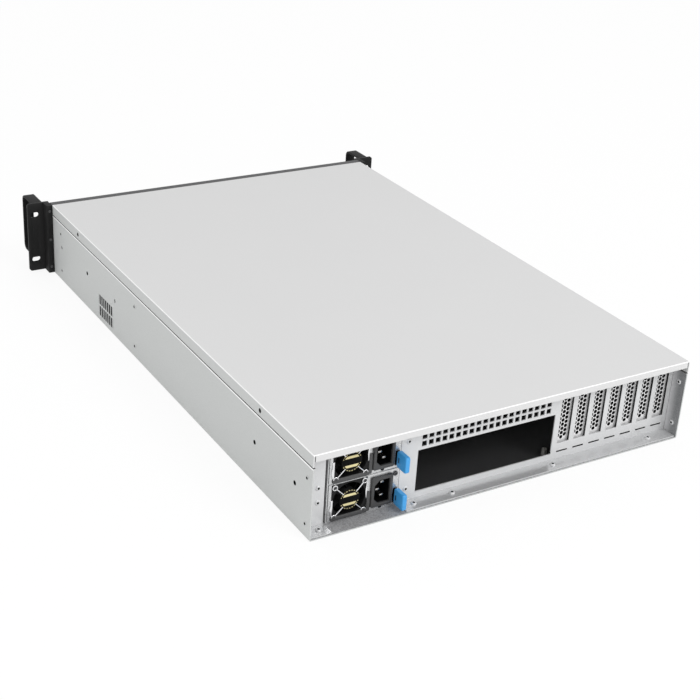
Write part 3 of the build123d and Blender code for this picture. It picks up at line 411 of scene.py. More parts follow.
def grip_plastic(mid):
    """Blue plastic with painted shade for the moulded slot near the edge next to the module."""
    made = Finish("grip_plastic")
    x, y, z = made.axes()
    spark = made.grain(0.5)
    # Painted shade where the slot lies; the slot itself is not modelled
    mark_y, mark_deep, mark_reach = PSU_FACE + 4.85, 0.85, 2.7
    mark = about(y, mark_y, mark_deep, 0.2) * about(z, mid, mark_reach, 0.2)
    tone = made.mix(spark.step(0.25, 0.8), (0.04, 0.30, 0.66), (0.055, 0.35, 0.74))
    tone = made.mix(mark, tone, (0.006, 0.012, 0.025))
    return made.set(
        Base_Color=tone, Roughness=0.34 + 0.12 * spark, Normal=made.relief(spark, 0.02, 0.5)
    ).material


def inlet_plastic(mid):
    """Black moulded inlet whose three pins are bright metal."""
    made = Finish("inlet_plastic")
    x, y, z = made.axes()
    cavity_floor, margin = PSU_FACE - 15.4, 0.05
    pin_reach_x, pin_reach_z = PIN_W / 2 + margin, PIN_T / 2 + margin
    outer_pins = about(z, mid + PIN_SPREAD, pin_reach_z) + about(z, mid - PIN_SPREAD, pin_reach_z)
    pins = about(x, INLET_X - PIN_OFFSET, pin_reach_x) * outer_pins
    pins = pins + about(x, INLET_X + PIN_OFFSET, pin_reach_x) * about(z, mid, pin_reach_z)
    pins = pins * (y > cavity_floor) * (y < PSU_FACE)
    spark = made.grain(0.45)
    tone = made.mix(spark.step(0.25, 0.8), (0.045, 0.045, 0.046), (0.07, 0.07, 0.071))
    # Painted shade deep in the cavity, behind the face
    tone = made.mix(y < PSU_FACE - 0.1, tone, grey(0.002))
    tone = made.mix(pins, tone, (0.42, 0.41, 0.40))
    return made.set(
        Base_Color=tone, Metallic=pins, Roughness=0.36 + 0.12 * spark - 0.14 * pins, Specular_IOR_Level=0.1,
        Normal=made.relief(spark, 0.02, 0.5),
    ).material


FINISHES = {
    "cover_sheet": cover_paint(),
    "base_sheet": base_paint(),
    "zinc_sheet": zinc("zinc_sheet"),
    "black_metal": powder_coat("black_coat", grey(0.006), grey(0.016), shine=0.2),
    "dark_metal": powder_coat("dark_coat", (0.05, 0.05, 0.052), (0.08, 0.08, 0.082)),
    "black_plastic": moulded("black_plastic", (0.006, 0.006, 0.0063), (0.014, 0.014, 0.0145), shine=0.16),
    "blue_plastic": moulded("blue_plastic", (0.035, 0.27, 0.60), (0.06, 0.33, 0.68), 0.3),
    "wire": bright_wire(),
    "board": moulded("board_mask", (0.012, 0.09, 0.035), (0.025, 0.15, 0.06), 0.3, 2.0),
    "brass": powder_coat("plated_brass", (0.50, 0.49, 0.46), (0.62, 0.61, 0.58), 0.3, 0.5, 0.7),
}
for node, slot in SLOT_OF.items():
    mesh = NODES[node].data
    mesh.materials.clear()
    mesh.materials.append(FINISHES[slot])

MODULE_METAL = zinc(
    "module_metal", (0.44, 0.445, 0.45), (0.72, 0.725, 0.73), 0.8, 0.2, size=12.0, brushed=(14.0, 1.0, 14.0)
)
# The slot covers' zinc is painted lighter than the panel's, as painted light in the shade of the recess
LIT_STRIP_METAL = zinc("lit_strip_metal", (0.80, 0.80, 0.805), (0.92, 0.92, 0.925), 0.1, painted_shade_edges=True)
BEZEL = moulded("bezel_plastic", (0.045, 0.045, 0.046), (0.07, 0.07, 0.071))
FAN_BAND = moulded("band_plastic", (0.055, 0.055, 0.056), (0.085, 0.085, 0.086))
HOLE_SHADE = moulded("hole_shade", grey(0.002), grey(0.005), 0.6, shine=0.0)
for number in (1, 2):
    NODES[f"psu_housing_{number}"].data.materials[0] = MODULE_METAL


def sealed(mesh):
    """Merges a mesh's doubles and turns its faces outwards."""
    shell = bmesh.new()
    shell.from_mesh(mesh)
    bmesh.ops.remove_doubles(shell, verts=shell.verts, dist=WELD)
    bmesh.ops.recalc_face_normals(shell, faces=shell.faces)
    shell.to_mesh(mesh)
    shell.free()
    return mesh


def shaded(mesh, sharp=38.0):
    """Smooth shading that keeps the edges sharper than an angle in degrees."""
    mesh.shade_smooth()
    mesh.set_sharp_from_angle(angle=radians(sharp))
    return mesh


def mesh_of(name, points, faces=(), edges=()):
    """Mesh from points in millimetres."""
    mesh = bpy.data.meshes.new(name)
    mesh.from_pydata([tuple(value * MM for value in point) for point in points], edges, faces)
    return mesh


def in_scene(name, data):
    """A new object in the scene."""
    made = bpy.data.objects.new(name, data)
    bpy.context.scene.collection.objects.link(made)
    return made


def belt(count, near, far):
    """Faces between two rings of count points, given by their numbers."""
    near, far = near * count, far * count
    faces = []
    for k in range(count):
        after = (k + 1) % count
        faces.append((near + k, near + after, far + after, far + k))
    return faces


def ring_solid(name, rings):
    """Closed solid through rings that have the same number of points, capped at both ends."""
    count = len(rings[0])
    points = [point for ring in rings for point in ring]
    faces = [tuple(range(count)), tuple(range(len(points) - count, len(points)))]
    for level in range(len(rings) - 1):
        faces += belt(count, level, level + 1)
    return sealed(mesh_of(name, points, faces))


def hoop_solid(name, rings):
    """Closed hoop through rings, the last of which joins the first."""
    points = [point for ring in rings for point in ring]
    faces = []
    for level in range(len(rings)):
        faces += belt(len(rings[0]), level, (level + 1) % len(rings))
    return sealed(mesh_of(name, points, faces))


def turned(name, profile, sides):
    """Solid turned about +Z from (radius, height) pairs; a radius may be a rule of the angle."""
    rings = []
    for radius, height in profile:
        ring = []
        for k in range(sides):
            angle = 2 * pi * k / sides
            reach = radius(angle) if callable(radius) else radius
            ring.append((reach * cos(angle), reach * sin(angle), height))
        rings.append(ring)
    return ring_solid(name, rings)


def rounded_outline(width, height, corner, steps=4):
    """Points of a rounded rectangle round the origin, anticlockwise."""
    outline = []
    for quarter, (sx, sy) in enumerate(((1, 1), (-1, 1), (-1, -1), (1, -1))):
        for k in range(steps + 1):
            angle = pi / 2 * (quarter + k / steps)
            outline.append((
                sx * (width / 2 - corner) + corner * cos(angle),
                sy * (height / 2 - corner) + corner * sin(angle),
            ))
    return outline


def slab(name, outline, thickness, edge, place):
    """Solid of an outline with softened rims; place turns (u, v, w) into a point."""
    def inset(amount):
        reach_u = max(abs(u) for u, v in outline)
        reach_v = max(abs(v) for u, v in outline)
        return [(u * (1 - amount / reach_u), v * (1 - amount / reach_v)) for u, v in outline]

    levels = [(edge, 0.0), (edge * 0.3, edge * 0.3), (0.0, edge),
              (0.0, thickness - edge), (edge * 0.3, thickness - edge * 0.3), (edge, thickness)]
    return ring_solid(name, [[place(u, v, w) for u, v in inset(amount)] for amount, w in levels])


def give(name, mesh, slot, body, *replaced, finish=None):
    """A piece that rides on a body, in the finish of its slot or in its own."""
    mesh.name = name
    mesh.materials.clear()
    mesh.materials.append(finish or FINISHES[slot])
    made = in_scene(name, mesh)
    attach(made, body)
    if replaced:
        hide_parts(*replaced)


def moved(mesh, x=0.0, y=0.0, z=0.0, turn=None):
    """Copy of a mesh, turned by a matrix and then shifted by millimetres."""
    copy = mesh.copy()
    copy.transform(Matrix.Translation((x * MM, y * MM, z * MM)) @ (turn or Matrix.Identity(4)))
    return copy


def joined(name, meshes):
    """One mesh from several."""
    shell = bmesh.new()
    for mesh in meshes:
        shell.from_mesh(mesh)
    whole = bpy.data.meshes.new(name)
    shell.to_mesh(whole)
    shell.free()
    return whole


def body_name(node):
    """The body that a CAD node rides on."""
    found = body_of(NODES[node])
    return found if isinstance(found, str) else found[0]


def softened(node, edge, segments=2, finish=None, sharp=20.0):
    """A CAD node's shape with its sharp edges rounded, in place of the node."""
    shell = bmesh.new()
    shell.from_mesh(NODES[node].data)
    bmesh.ops.remove_doubles(shell, verts=shell.verts, dist=WELD)
    bmesh.ops.dissolve_limit(
        shell, angle_limit=radians(0.6), verts=shell.verts, edges=shell.edges, use_dissolve_boundaries=False
    )
    corners = [e for e in shell.edges if len(e.link_faces) == 2 and e.calc_face_angle(0) > radians(sharp)]
    bmesh.ops.bevel(
        shell, geom=corners, offset=edge * MM, offset_type="OFFSET", segments=segments, profile=0.5,
        affect="EDGES", clamp_overlap=True,
    )
    bmesh.ops.triangulate(shell, faces=[f for f in shell.faces if len(f.verts) > 4])
    mesh = bpy.data.meshes.new(node + "_soft")
    shell.to_mesh(mesh)
    shell.free()
    give(node + "_soft", shaded(mesh), SLOT_OF[node], body_name(node), node, finish=finish)


class Tree:
    """A Geometry Nodes tree with named inputs, run once over a mesh."""

    def __init__(self, name, inputs):
        self.group = bpy.data.node_groups.new(name, "GeometryNodeTree")
        face = self.group.interface
        face.new_socket("Geometry", in_out="INPUT", socket_type="NodeSocketGeometry")
        self.keys = {}
        for label, kind in inputs.items():
            self.keys[label] = face.new_socket(label, in_out="INPUT", socket_type=kind).identifier
        face.new_socket("Geometry", in_out="OUTPUT", socket_type="NodeSocketGeometry")
        self.source = self.group.nodes.new("NodeGroupInput")
        self.made = 0

    def node(self, kind, settings=None, values=None):
        added = self.group.nodes.new(kind)
        self.made += 1
        added.location = (220 * self.made, 0)
        for key, value in (settings or {}).items():
            setattr(added, key, value)
        for key, value in (values or {}).items():
            if isinstance(value, bpy.types.NodeSocket):
                self.group.links.new(value, added.inputs[key])
            else:
                added.inputs[key].default_value = value
        return added

    def join(self, *parts):
        """The geometry of several nodes as one."""
        whole = self.node("GeometryNodeJoinGeometry")
        for part in parts:
            self.group.links.new(part.outputs[0], whole.inputs[0])
        return whole

    def end(self, geometry):
        """Ends in Realize Instances and Set Material."""
        plain = self.node("GeometryNodeRealizeInstances", None, {"Geometry": geometry})
        dressed = self.node("GeometryNodeSetMaterial", None, {
            "Geometry": plain.outputs[0], "Material": self.source.outputs["Material"],
        })
        out = self.group.nodes.new("NodeGroupOutput")
        self.group.links.new(dressed.outputs[0], out.inputs[0])

    def run(self, name, mesh, values):
        """The plain mesh that the tree makes of a mesh."""
        carrier = in_scene(name, mesh)
        modifier = carrier.modifiers.new("tree", "NODES")
        modifier.node_group = self.group
        for label, value in values.items():
            modifier[self.keys[label]] = value
        graph = bpy.context.evaluated_depsgraph_get()
        made = bpy.data.meshes.new_from_object(carrier.evaluated_get(graph), depsgraph=graph)
        carrier.modifiers.remove(modifier)
        bpy.data.objects.remove(carrier)
        made.name = name
        return made


def head_tree():
    """Copies of a head at each point: its +Z along the point's facing, its turn at random within a range."""
    tree = Tree("heads", {
        "Head": "NodeSocketObject", "Turn": "NodeSocketFloat", "Seed": "NodeSocketInt",
        "Material": "NodeSocketMaterial",
    })
    given = tree.source.outputs
    head = tree.node("GeometryNodeObjectInfo", None, {"Object": given["Head"]})
    facing = tree.node("GeometryNodeInputNamedAttribute", {"data_type": "FLOAT_VECTOR"}, {"Name": "facing"})
    upright = tree.node("FunctionNodeAlignRotationToVector", {"axis": "Z"}, {"Vector": facing.outputs[0]})
    chance = tree.node("FunctionNodeRandomValue", {"data_type": "FLOAT"}, None)
    chance.inputs[2].default_value = 0.0
    tree.group.links.new(given["Turn"], chance.inputs[3])
    tree.group.links.new(given["Seed"], chance.inputs["Seed"])
    angles = tree.node("ShaderNodeCombineXYZ", None, {"Z": chance.outputs[1]})
    spin = tree.node("FunctionNodeEulerToRotation", None, {0: angles.outputs[0]})
    both = tree.node("FunctionNodeRotateRotation", {"rotation_space": "LOCAL"}, {
        "Rotation": upright.outputs[0], "Rotate By": spin.outputs[0],
    })
    copies = tree.node("GeometryNodeInstanceOnPoints", None, {
        "Points": given["Geometry"], "Instance": head.outputs["Geometry"], "Rotation": both.outputs[0],
    })
    tree.end(copies.outputs[0])
    return tree


def wire_tree():
    """A round wire along each of a mesh's lines of edges."""
    tree = Tree("wires", {
        "Radius": "NodeSocketFloat", "Sides": "NodeSocketInt", "Material": "NodeSocketMaterial",
    })
    given = tree.source.outputs
    path = tree.node("GeometryNodeMeshToCurve", None, {"Mesh": given["Geometry"]})
    section = tree.node("GeometryNodeCurvePrimitiveCircle", None, {
        "Resolution": given["Sides"], "Radius": given["Radius"],
    })
    tube = tree.node("GeometryNodeCurveToMesh", None, {
        "Curve": path.outputs[0], "Profile Curve": section.outputs[0], "Fill Caps": True,
    })
    tree.end(tube.outputs[0])
    return tree


HEADS, WIRES = head_tree(), wire_tree()


def scattered(name, head, places, finish, turn=2 * pi, seed=1):
    """Copies of a head at (point in millimetres, facing) places, as one mesh."""
    points = mesh_of(name + "_points", [point for point, facing in places])
    facings = points.attributes.new("facing", "FLOAT_VECTOR", "POINT")
    for k, (point, facing) in enumerate(places):
        facings.data[k].vector = facing
    model = in_scene(name + "_head", head)
    made = HEADS.run(name, points, {"Head": model, "Turn": turn, "Seed": seed, "Material": finish})
    bpy.data.objects.remove(model)
    return made


WIRE_SIDES, HOLE_SIDES = 10, 14


def wired(name, paths, radius, finish):
    """Round wire along paths of points in millimetres; a path whose ends meet is a closed ring."""
    points, edges = [], []
    for path in paths:
        closed = path[0] == path[-1]
        path = path[:-1] if closed else path
        first = len(points)
        points += path
        edges += [(first + k, first + k + 1) for k in range(len(path) - 1)]
        if closed:
            edges.append((first + len(path) - 1, first))
    lines = mesh_of(name + "_lines", points, edges=edges)
    made = WIRES.run(name, lines, {"Radius": radius * MM, "Sides": WIRE_SIDES, "Material": finish})
    return shaded(sealed(made), 50.0)


def sheet_tree():
    """A flat sheet inside the outline's loop, with a round hole at each point marked hole."""
    tree = Tree("perforated", {
        "Hole Radius": "NodeSocketFloat", "Sides": "NodeSocketInt",
        "Sheet": "NodeSocketFloat", "Material": "NodeSocketMaterial",
    })
    given = tree.source.outputs
    hole = tree.node("GeometryNodeInputNamedAttribute", {"data_type": "BOOLEAN"}, {"Name": "hole"})
    ring = tree.node("GeometryNodeCurvePrimitiveCircle", None, {
        "Resolution": given["Sides"], "Radius": given["Hole Radius"],
    })
    rings = tree.node("GeometryNodeInstanceOnPoints", None, {
        "Points": given["Geometry"], "Selection": hole.outputs[0], "Instance": ring.outputs[0],
    })
    loose = tree.node("GeometryNodeRealizeInstances", None, {"Geometry": rings.outputs[0]})
    rim = tree.node("GeometryNodeMeshToCurve", None, {"Mesh": given["Geometry"]})
    lines = tree.join(rim, loose)
    face = tree.node("GeometryNodeFillCurve", {"mode": "NGONS"}, {"Curve": lines.outputs[0]})
    raised = tree.node("GeometryNodeExtrudeMesh", {"mode": "FACES"}, {
        "Mesh": face.outputs[0], "Offset Scale": given["Sheet"], "Individual": False,
    })
    back = tree.node("GeometryNodeFlipFaces", None, {"Mesh": face.outputs[0]})
    both = tree.join(raised, back)
    whole = tree.node("GeometryNodeMergeByDistance", None, {"Geometry": both.outputs[0], "Distance": WELD})
    tree.end(whole.outputs[0])
    return tree


SHEETS = sheet_tree()


def perforated(name, outline, holes, radius, sheet, finish):
    """Flat sheet in the XY plane from z = 0 upwards, with round holes; lengths in millimetres."""
    points = [(x, y, 0.0) for x, y in outline] + [(x, y, 0.0) for x, y in holes]
    rim = [(k, (k + 1) % len(outline)) for k in range(len(outline))]
    lines = mesh_of(name + "_lines", points, edges=rim)
    mark = lines.attributes.new("hole", "BOOLEAN", "POINT")
    mark.data.foreach_set("value", [k >= len(outline) for k in range(len(points))])
    made = SHEETS.run(name, lines, {
        "Hole Radius": radius * MM, "Sides": HOLE_SIDES, "Sheet": sheet * MM, "Material": finish,
    })
    return sealed(made)


# Heads of fasteners, standing on z = 0 and facing +Z
def cross_recess(arm, half_width):
    """Distance from the middle to the rim of a cross, by angle."""
    def reach(angle):
        c, s = max(abs(cos(angle)), 1e-6), max(abs(sin(angle)), 1e-6)
        return max(min(arm / c, half_width / s), min(half_width / c, arm / s))
    return reach


def pan_head(radius, height, sides=32):
    """Pan-headed screw with a cross recess."""
    return shaded(turned("pan_head", [
        (radius, -0.4), (radius, height * 0.35), (radius * 0.95, height * 0.66),
        (radius * 0.82, height * 0.88), (radius * 0.66, height),
        (cross_recess(radius * 0.56, radius * 0.14), height),
        (cross_recess(radius * 0.44, radius * 0.12), height * 0.25),
    ], sides), 30.0)


def flat_head(radius):
    """Countersunk screw, set just below the sheet's face."""
    return shaded(turned("flat_head", [
        (radius, -0.6), (radius, 0.02), (radius * 0.93, 0.1),
        (cross_recess(radius * 0.62, radius * 0.15), 0.1), (cross_recess(radius * 0.48, radius * 0.12), -0.5),
    ], 32), 30.0)


def blind_rivet(radius):
    """Domed rivet with the hole its stem leaves."""
    return shaded(turned("blind_rivet", [
        (radius, -0.3), (radius, 0.15), (radius * 0.93, 0.42), (radius * 0.72, 0.72), (radius * 0.48, 0.86),
        (radius * 0.42, 0.8), (radius * 0.38, 0.1),
    ], 24), 50.0)


RIGHTWARD, LEFTWARD, UPWARD = (1.0, 0.0, 0.0), (-1.0, 0.0, 0.0), (0.0, 0.0, 1.0)
REARWARD, FORWARD = (0.0, 1.0, 0.0), (0.0, -1.0, 0.0)
FACE_REAR, FACE_FRONT = Matrix.Rotation(-pi / 2, 4, "X"), Matrix.Rotation(pi / 2, 4, "X")
SIDES = ((HALF_W, RIGHTWARD), (-HALF_W, LEFTWARD))


def fitted(name, head, places, slot, body, **options):
    """Copies of a head at its places, as a piece in the finish of its material slot."""
    give(name, scattered(name, head, places, FINISHES[slot], **options), slot, body)


def dark_dots(name, places, radius, height):
    """Small discs in the dark of hole_shade, standing in for the shade in the middle of heads, or in holes.
    """
    shade_disc = shaded(turned("shade_disc", [(radius, -0.3), (radius, height), (radius * 0.3, height + 0.02)], 20), 30.0)
    give(name, scattered(name, shade_disc, places, HOLE_SHADE), "black_metal", "chassis", finish=HOLE_SHADE)


def on_walls(distances, heights):
    """Places on both side walls, by distance forward from the rear rim and by height."""
    return [
        ((x, REAR - from_rear, z), facing) for x, facing in SIDES for from_rear in distances for z in heights
    ]


# Rivets of the side walls, of which the rearmost show inside the recess too, and of the rear panel
RIM_RIVETS, RIVET_HEIGHTS = 8.5, (14.3, 61.3)
wall_rivets = on_walls((RIM_RIVETS, 390.0, 612.0), RIVET_HEIGHTS)
inner_rivets = [
    ((x - WALL_SHEET * facing[0], REAR - RIM_RIVETS, z), (-facing[0], 0.0, 0.0))
    for x, facing in SIDES for z in RIVET_HEIGHTS
]
PANEL_RIVETS = (198.0, 40.7), (198.0, 25.5), (104.5, 65.5), (104.5, 15.0)
panel_rivets = [((x, PANEL, z), REARWARD) for x, z in PANEL_RIVETS]
fitted("wall_rivets", blind_rivet(2.3), wall_rivets, "base_sheet", "chassis")
fitted("panel_rivets", blind_rivet(2.8), panel_rivets + inner_rivets, "zinc_sheet", "chassis")
# Dark discs in the rivets' stem holes: painted shade
dark_dots("rivet_cores", wall_rivets, 1.4, 0.9)
dark_dots("panel_rivet_cores", panel_rivets + inner_rivets, 1.1, 0.95)

# Screws of the cover, blind holes of the walls, and screws of the floor's lip and of the ears
COVER_SCREW_Z, BLIND_HOLE_Z = SEAM + 6.5, 43.8
cover_screws = on_walls((99.7, 556.5), (COVER_SCREW_Z,))
fitted("cover_screws", flat_head(2.4), cover_screws, "base_sheet", "chassis", seed=4)
# Dark discs, painted shade, in the screws' recesses and for the walls' blind holes
dark_dots("screw_cores", cover_screws, 1.5, 0.12)
dark_dots("blind_holes", on_walls((30.5, 108.2, 529.35), (BLIND_HOLE_Z,)), 2.3, 0.05)
LIP_SCREWS_FROM_REAR, LIP_SCREWS_X = 9.0, (201.0, 100.0, 57.0, -62.0, -184.0)
lip_screws = [((x, REAR - LIP_SCREWS_FROM_REAR, FLOOR + PANEL_SHEET), UPWARD) for x in LIP_SCREWS_X]
fitted("lip_screws", pan_head(2.7, 1.7), lip_screws, "zinc_sheet", "chassis", seed=7)
# Dark discs in the lip screws' recesses: painted shade
dark_dots("lip_screw_cores", lip_screws, 1.2, 1.76)
EAR_BACK, EAR_SCREW_X = span("ear_right")[1][1], HALF_W + 3.5
ear_screws = [((side * EAR_SCREW_X, EAR_BACK, z), REARWARD) for side in (1, -1) for z in (80.5, 44.0, 9.0)]
fitted("ear_screws", pan_head(1.7, 0.8, 24), ear_screws, "dark_metal", "chassis", seed=9)

# Slot covers: strips with three staggered columns of round holes
SLOT_COUNT = 7
(STRIP_LEFT, _, STRIP_LOW), (STRIP_RIGHT, _, STRIP_HIGH) = span("slot_cover_1")
STRIP_W, STRIP_SHEET, STRIP_FOLD, STRIP_TAB = STRIP_RIGHT - STRIP_LEFT, 0.9, 2.6, 11.0
STRIP_FACE = PANEL_FRONT - STRIP_FOLD
HOLES_Z, HOLE_PITCH, HOLE_R = 46.8, 4.7, 2.05


def strip_holes():
    """Places of a strip's holes round their middle."""
    places = []
    for column, count in ((-1, 10), (0, 11), (1, 10)):
        for row in range(count):
            places.append((column * HOLE_PITCH * 0.75**0.5, (row - (count - 1) / 2) * HOLE_PITCH))
    return places


def folded_box(low, high):
    """A fold of sheet between two corners, with softened edges."""
    width, depth, height = (b - a for a, b in zip(low, high))
    mid_x, mid_z = (low[0] + high[0]) / 2, (low[2] + high[2]) / 2
    edge = 0.25
    return slab(
        "fold", rounded_outline(width, height, edge, 2), depth, min(edge, depth / 3),
        lambda u, v, w: (mid_x - u, low[1] + w, mid_z + v),
    )


def slot_strip():
    """A slot cover at x = 0: the perforated strip, its folded sides and the tab that it hangs from."""
    half = STRIP_W / 2
    low, high = STRIP_LOW - HOLES_Z, STRIP_HIGH - HOLES_Z
    outline = [(-half, low), (half, low), (half, high), (-half, high)]
    strip = perforated("strip", outline, strip_holes(), HOLE_R, STRIP_SHEET, LIT_STRIP_METAL)
    meshes = [moved(strip, 0.0, STRIP_FACE, HOLES_Z, FACE_FRONT)]
    for side in (1, -1):
        x = side * (half - STRIP_SHEET / 2)
        meshes.append(folded_box(
            (x - STRIP_SHEET / 2, STRIP_FACE, STRIP_LOW), (x + STRIP_SHEET / 2, PANEL_FRONT, STRIP_HIGH)
        ))
    meshes.append(folded_box(
        (-half, STRIP_FACE - STRIP_TAB, STRIP_HIGH - STRIP_SHEET), (half, STRIP_FACE, STRIP_HIGH)
    ))
    return joined("slot_strip", meshes)


strip = slot_strip()
for number in range(1, SLOT_COUNT + 1):
    node = f"slot_cover_{number}"
    cover = moved(strip, middle(node)[0])
    give(f"perforated_cover_{number}", cover, "zinc_sheet", "chassis", node, finish=LIT_STRIP_METAL)


# Fans
BLADES, FIRST_BLADE = 7, 0.23
BLADE_RINGS, BLADE_STEPS = 7, 6
ROOT_LEAN, BLADE_TWIST = 34.0, 20.0


def blade(hub_r, tip_r, length):
    """One fan blade standing along +Z from the hub; the fan's axis is Y."""
    root_r = hub_r * 0.9
    rings = []
    for k in range(BLADE_RINGS):
        share = k / (BLADE_RINGS - 1)
        radius = root_r + (tip_r - root_r) * share
        lean = radians(ROOT_LEAN + BLADE_TWIST * share)
        chord = length * 0.84 / cos(lean)
        thick = (0.075 - 0.03 * share) * tip_r
        ring = []
        for side in (1, -1):
            for j in range(BLADE_STEPS):
                along = j / (BLADE_STEPS - 1)
                if side < 0:
                    along = 1 - along
                belly = sin(pi * along)
                across_blade = side * thick / 2 * (0.3 + 0.7 * belly) + chord * 0.1 * belly
                forward = (along - 0.5) * chord
                sideways = forward * sin(lean) + across_blade * cos(lean) + tip_r * 0.14 * share
                y = forward * cos(lean) - across_blade * sin(lean)
                angle = sideways / radius
                ring.append((radius * sin(angle), y, radius * cos(angle)))
        rings.append(ring)
    return shaded(ring_solid("blade", rings), 45.0)


def rotor(name, x, z, y_back, y_front, hub_r, tip_r):
    """Rotor between two depths: domed hub, and blades that follow the bore."""
    length = abs(y_front - y_back)
    hub = shaded(turned("hub", [
        (1.5, -3.0), (1.5, 0.0), (hub_r * 0.93, 0.0), (hub_r, hub_r * 0.07), (hub_r, length - hub_r * 0.16),
        (hub_r * 0.96, length - hub_r * 0.06), (hub_r * 0.88, length), (hub_r * 0.8, length),
        (hub_r * 0.78, length - 0.25),
    ], 48), 35.0)
    hub = moved(hub, x, y_back, z, FACE_REAR if y_front > y_back else FACE_FRONT)
    spokes = []
    for k in range(BLADES):
        angle = 2 * pi * (k + FIRST_BLADE) / BLADES
        spokes.append(((x, (y_back + y_front) / 2, z), (sin(angle), 0.0, cos(angle))))
    vanes = scattered("vanes", blade(hub_r, tip_r, length), spokes, FINISHES["black_plastic"], turn=0.0)
    return joined(name, [hub, vanes])


# Supply modules
SUPPLY_HUB_R, SUPPLY_TIP_R = 9.6, 16.2
GUARD_EYE, EYE_R, EYE_LIFT, EYE_STEPS, DISC_R, DIAGONAL = 15.5, 2.3, 0.7, 20, 10.8, 0.7071
GUARD_CORNERS = (1, 1), (1, -1), (-1, 1), (-1, -1)
ARM_PROFILE = [(9.2 * DIAGONAL, 0.9), (12.5 * DIAGONAL, 1.1), (GUARD_EYE - 2.6 * DIAGONAL, EYE_LIFT)]
SPRINGS = (18.5, 1.9, -5.5, 8.5), (-17.75, 0.95, 6.5, 10.5)
BEZEL_HALF_W, BEZEL_HALF_H = 11.2, 15.7


def guard_paths(mid):
    """Four wires from the middle disc outwards, each closed round a screw in an eye."""
    paths = []
    for sx, sz in GUARD_CORNERS:
        paths.append([(FAN_X + sx * u, PSU_FACE + w, mid + sz * u) for u, w in ARM_PROFILE])
        eye = []
        for k in range(EYE_STEPS):
            angle = 2 * pi * k / EYE_STEPS
            x, z = sx * GUARD_EYE + EYE_R * cos(angle), sz * GUARD_EYE + EYE_R * sin(angle)
            eye.append((FAN_X + x, PSU_FACE + EYE_LIFT, mid + z))
        paths.append(eye + eye[:1])
    return paths


def fan_bands(mid):
    """Rounded band under the fan, and its upright beside the inlet."""
    sunk = 0.2
    band = slab(
        "band", rounded_outline(38.4, 4.2, 1.6, 4), 1.5, 0.5,
        lambda u, v, w: (FAN_X - 0.4 - u, PSU_FACE + w - sunk, mid - 17.0 + v),
    )
    post = slab(
        "post", rounded_outline(3.4, 21.0, 1.4, 4), 1.3, 0.4,
        lambda u, v, w: (FAN_X - 20.4 - u, PSU_FACE + w - sunk, mid - 8.0 + v),
    )
    return shaded(joined("bands", [band, post]), 50.0)


def spring_edges(mid):
    """Sprung edges of the sheet on both sides of the fan, cut in waves."""
    springs = []
    for x, wide, z, tall in SPRINGS:
        edge = [(wide * (1.0 - 0.55 * cos(2.6 * pi * k / 12)), tall * (k / 6 - 1.0)) for k in range(13)]
        springs.append(slab(
            "spring", edge + [(-wide, tall), (-wide, -tall)], 0.7, 0.2,
            lambda u, v, w: (FAN_X + x + u * 0.6, PSU_FACE + w + 0.1, mid + z + v),
        ))
    return shaded(joined("springs", springs), 40.0)


def cut_outline(half_w, half_h, left, right):
    """Rectangle round the origin with the corners of its left and right ends cut by these amounts."""
    return [
        (left - half_w, -half_h), (half_w - right, -half_h),
        (half_w, right - half_h), (half_w, half_h - right),
        (half_w - right, half_h), (left - half_w, half_h),
        (-half_w, half_h - left), (-half_w, left - half_h),
    ]


def inlet_bezel(mid):
    """Bezel round the inlet, with the cut corners of its cavity."""
    outer = cut_outline(BEZEL_HALF_W, BEZEL_HALF_H, 1.3, 1.3)
    inner = cut_outline(8.2, 12.2, 0.3, 5.0)
    rings = []
    for outline, shrink, depth in (
        (outer, 0.0, 0.0), (outer, 0.0, 1.9), (outer, 0.2, 2.3), (outer, 0.6, 2.5),
        (inner, -0.5, 2.5), (inner, -0.1, 2.2), (inner, 0.0, 1.8), (inner, 0.0, 0.0),
    ):
        share_u, share_v = 1 - shrink / BEZEL_HALF_W, 1 - shrink / BEZEL_HALF_H
        rings.append([(INLET_X + u * share_u, PSU_FACE + depth, mid + v * share_v) for u, v in outline])
    return shaded(hoop_solid("bezel", rings), 25.0)


def lever_grip(node):
    """The grip with rounded corners and edges, in the box of its CAD node."""
    low, high = span(node)
    _, y, z = middle(node)
    grip = slab(
        "grip", rounded_outline(high[1] - low[1], high[2] - low[2], 1.8, 5), high[0] - low[0], 0.9,
        lambda u, v, w: (low[0] + w, y + u, z + v),
    )
    return shaded(grip, 60.0)


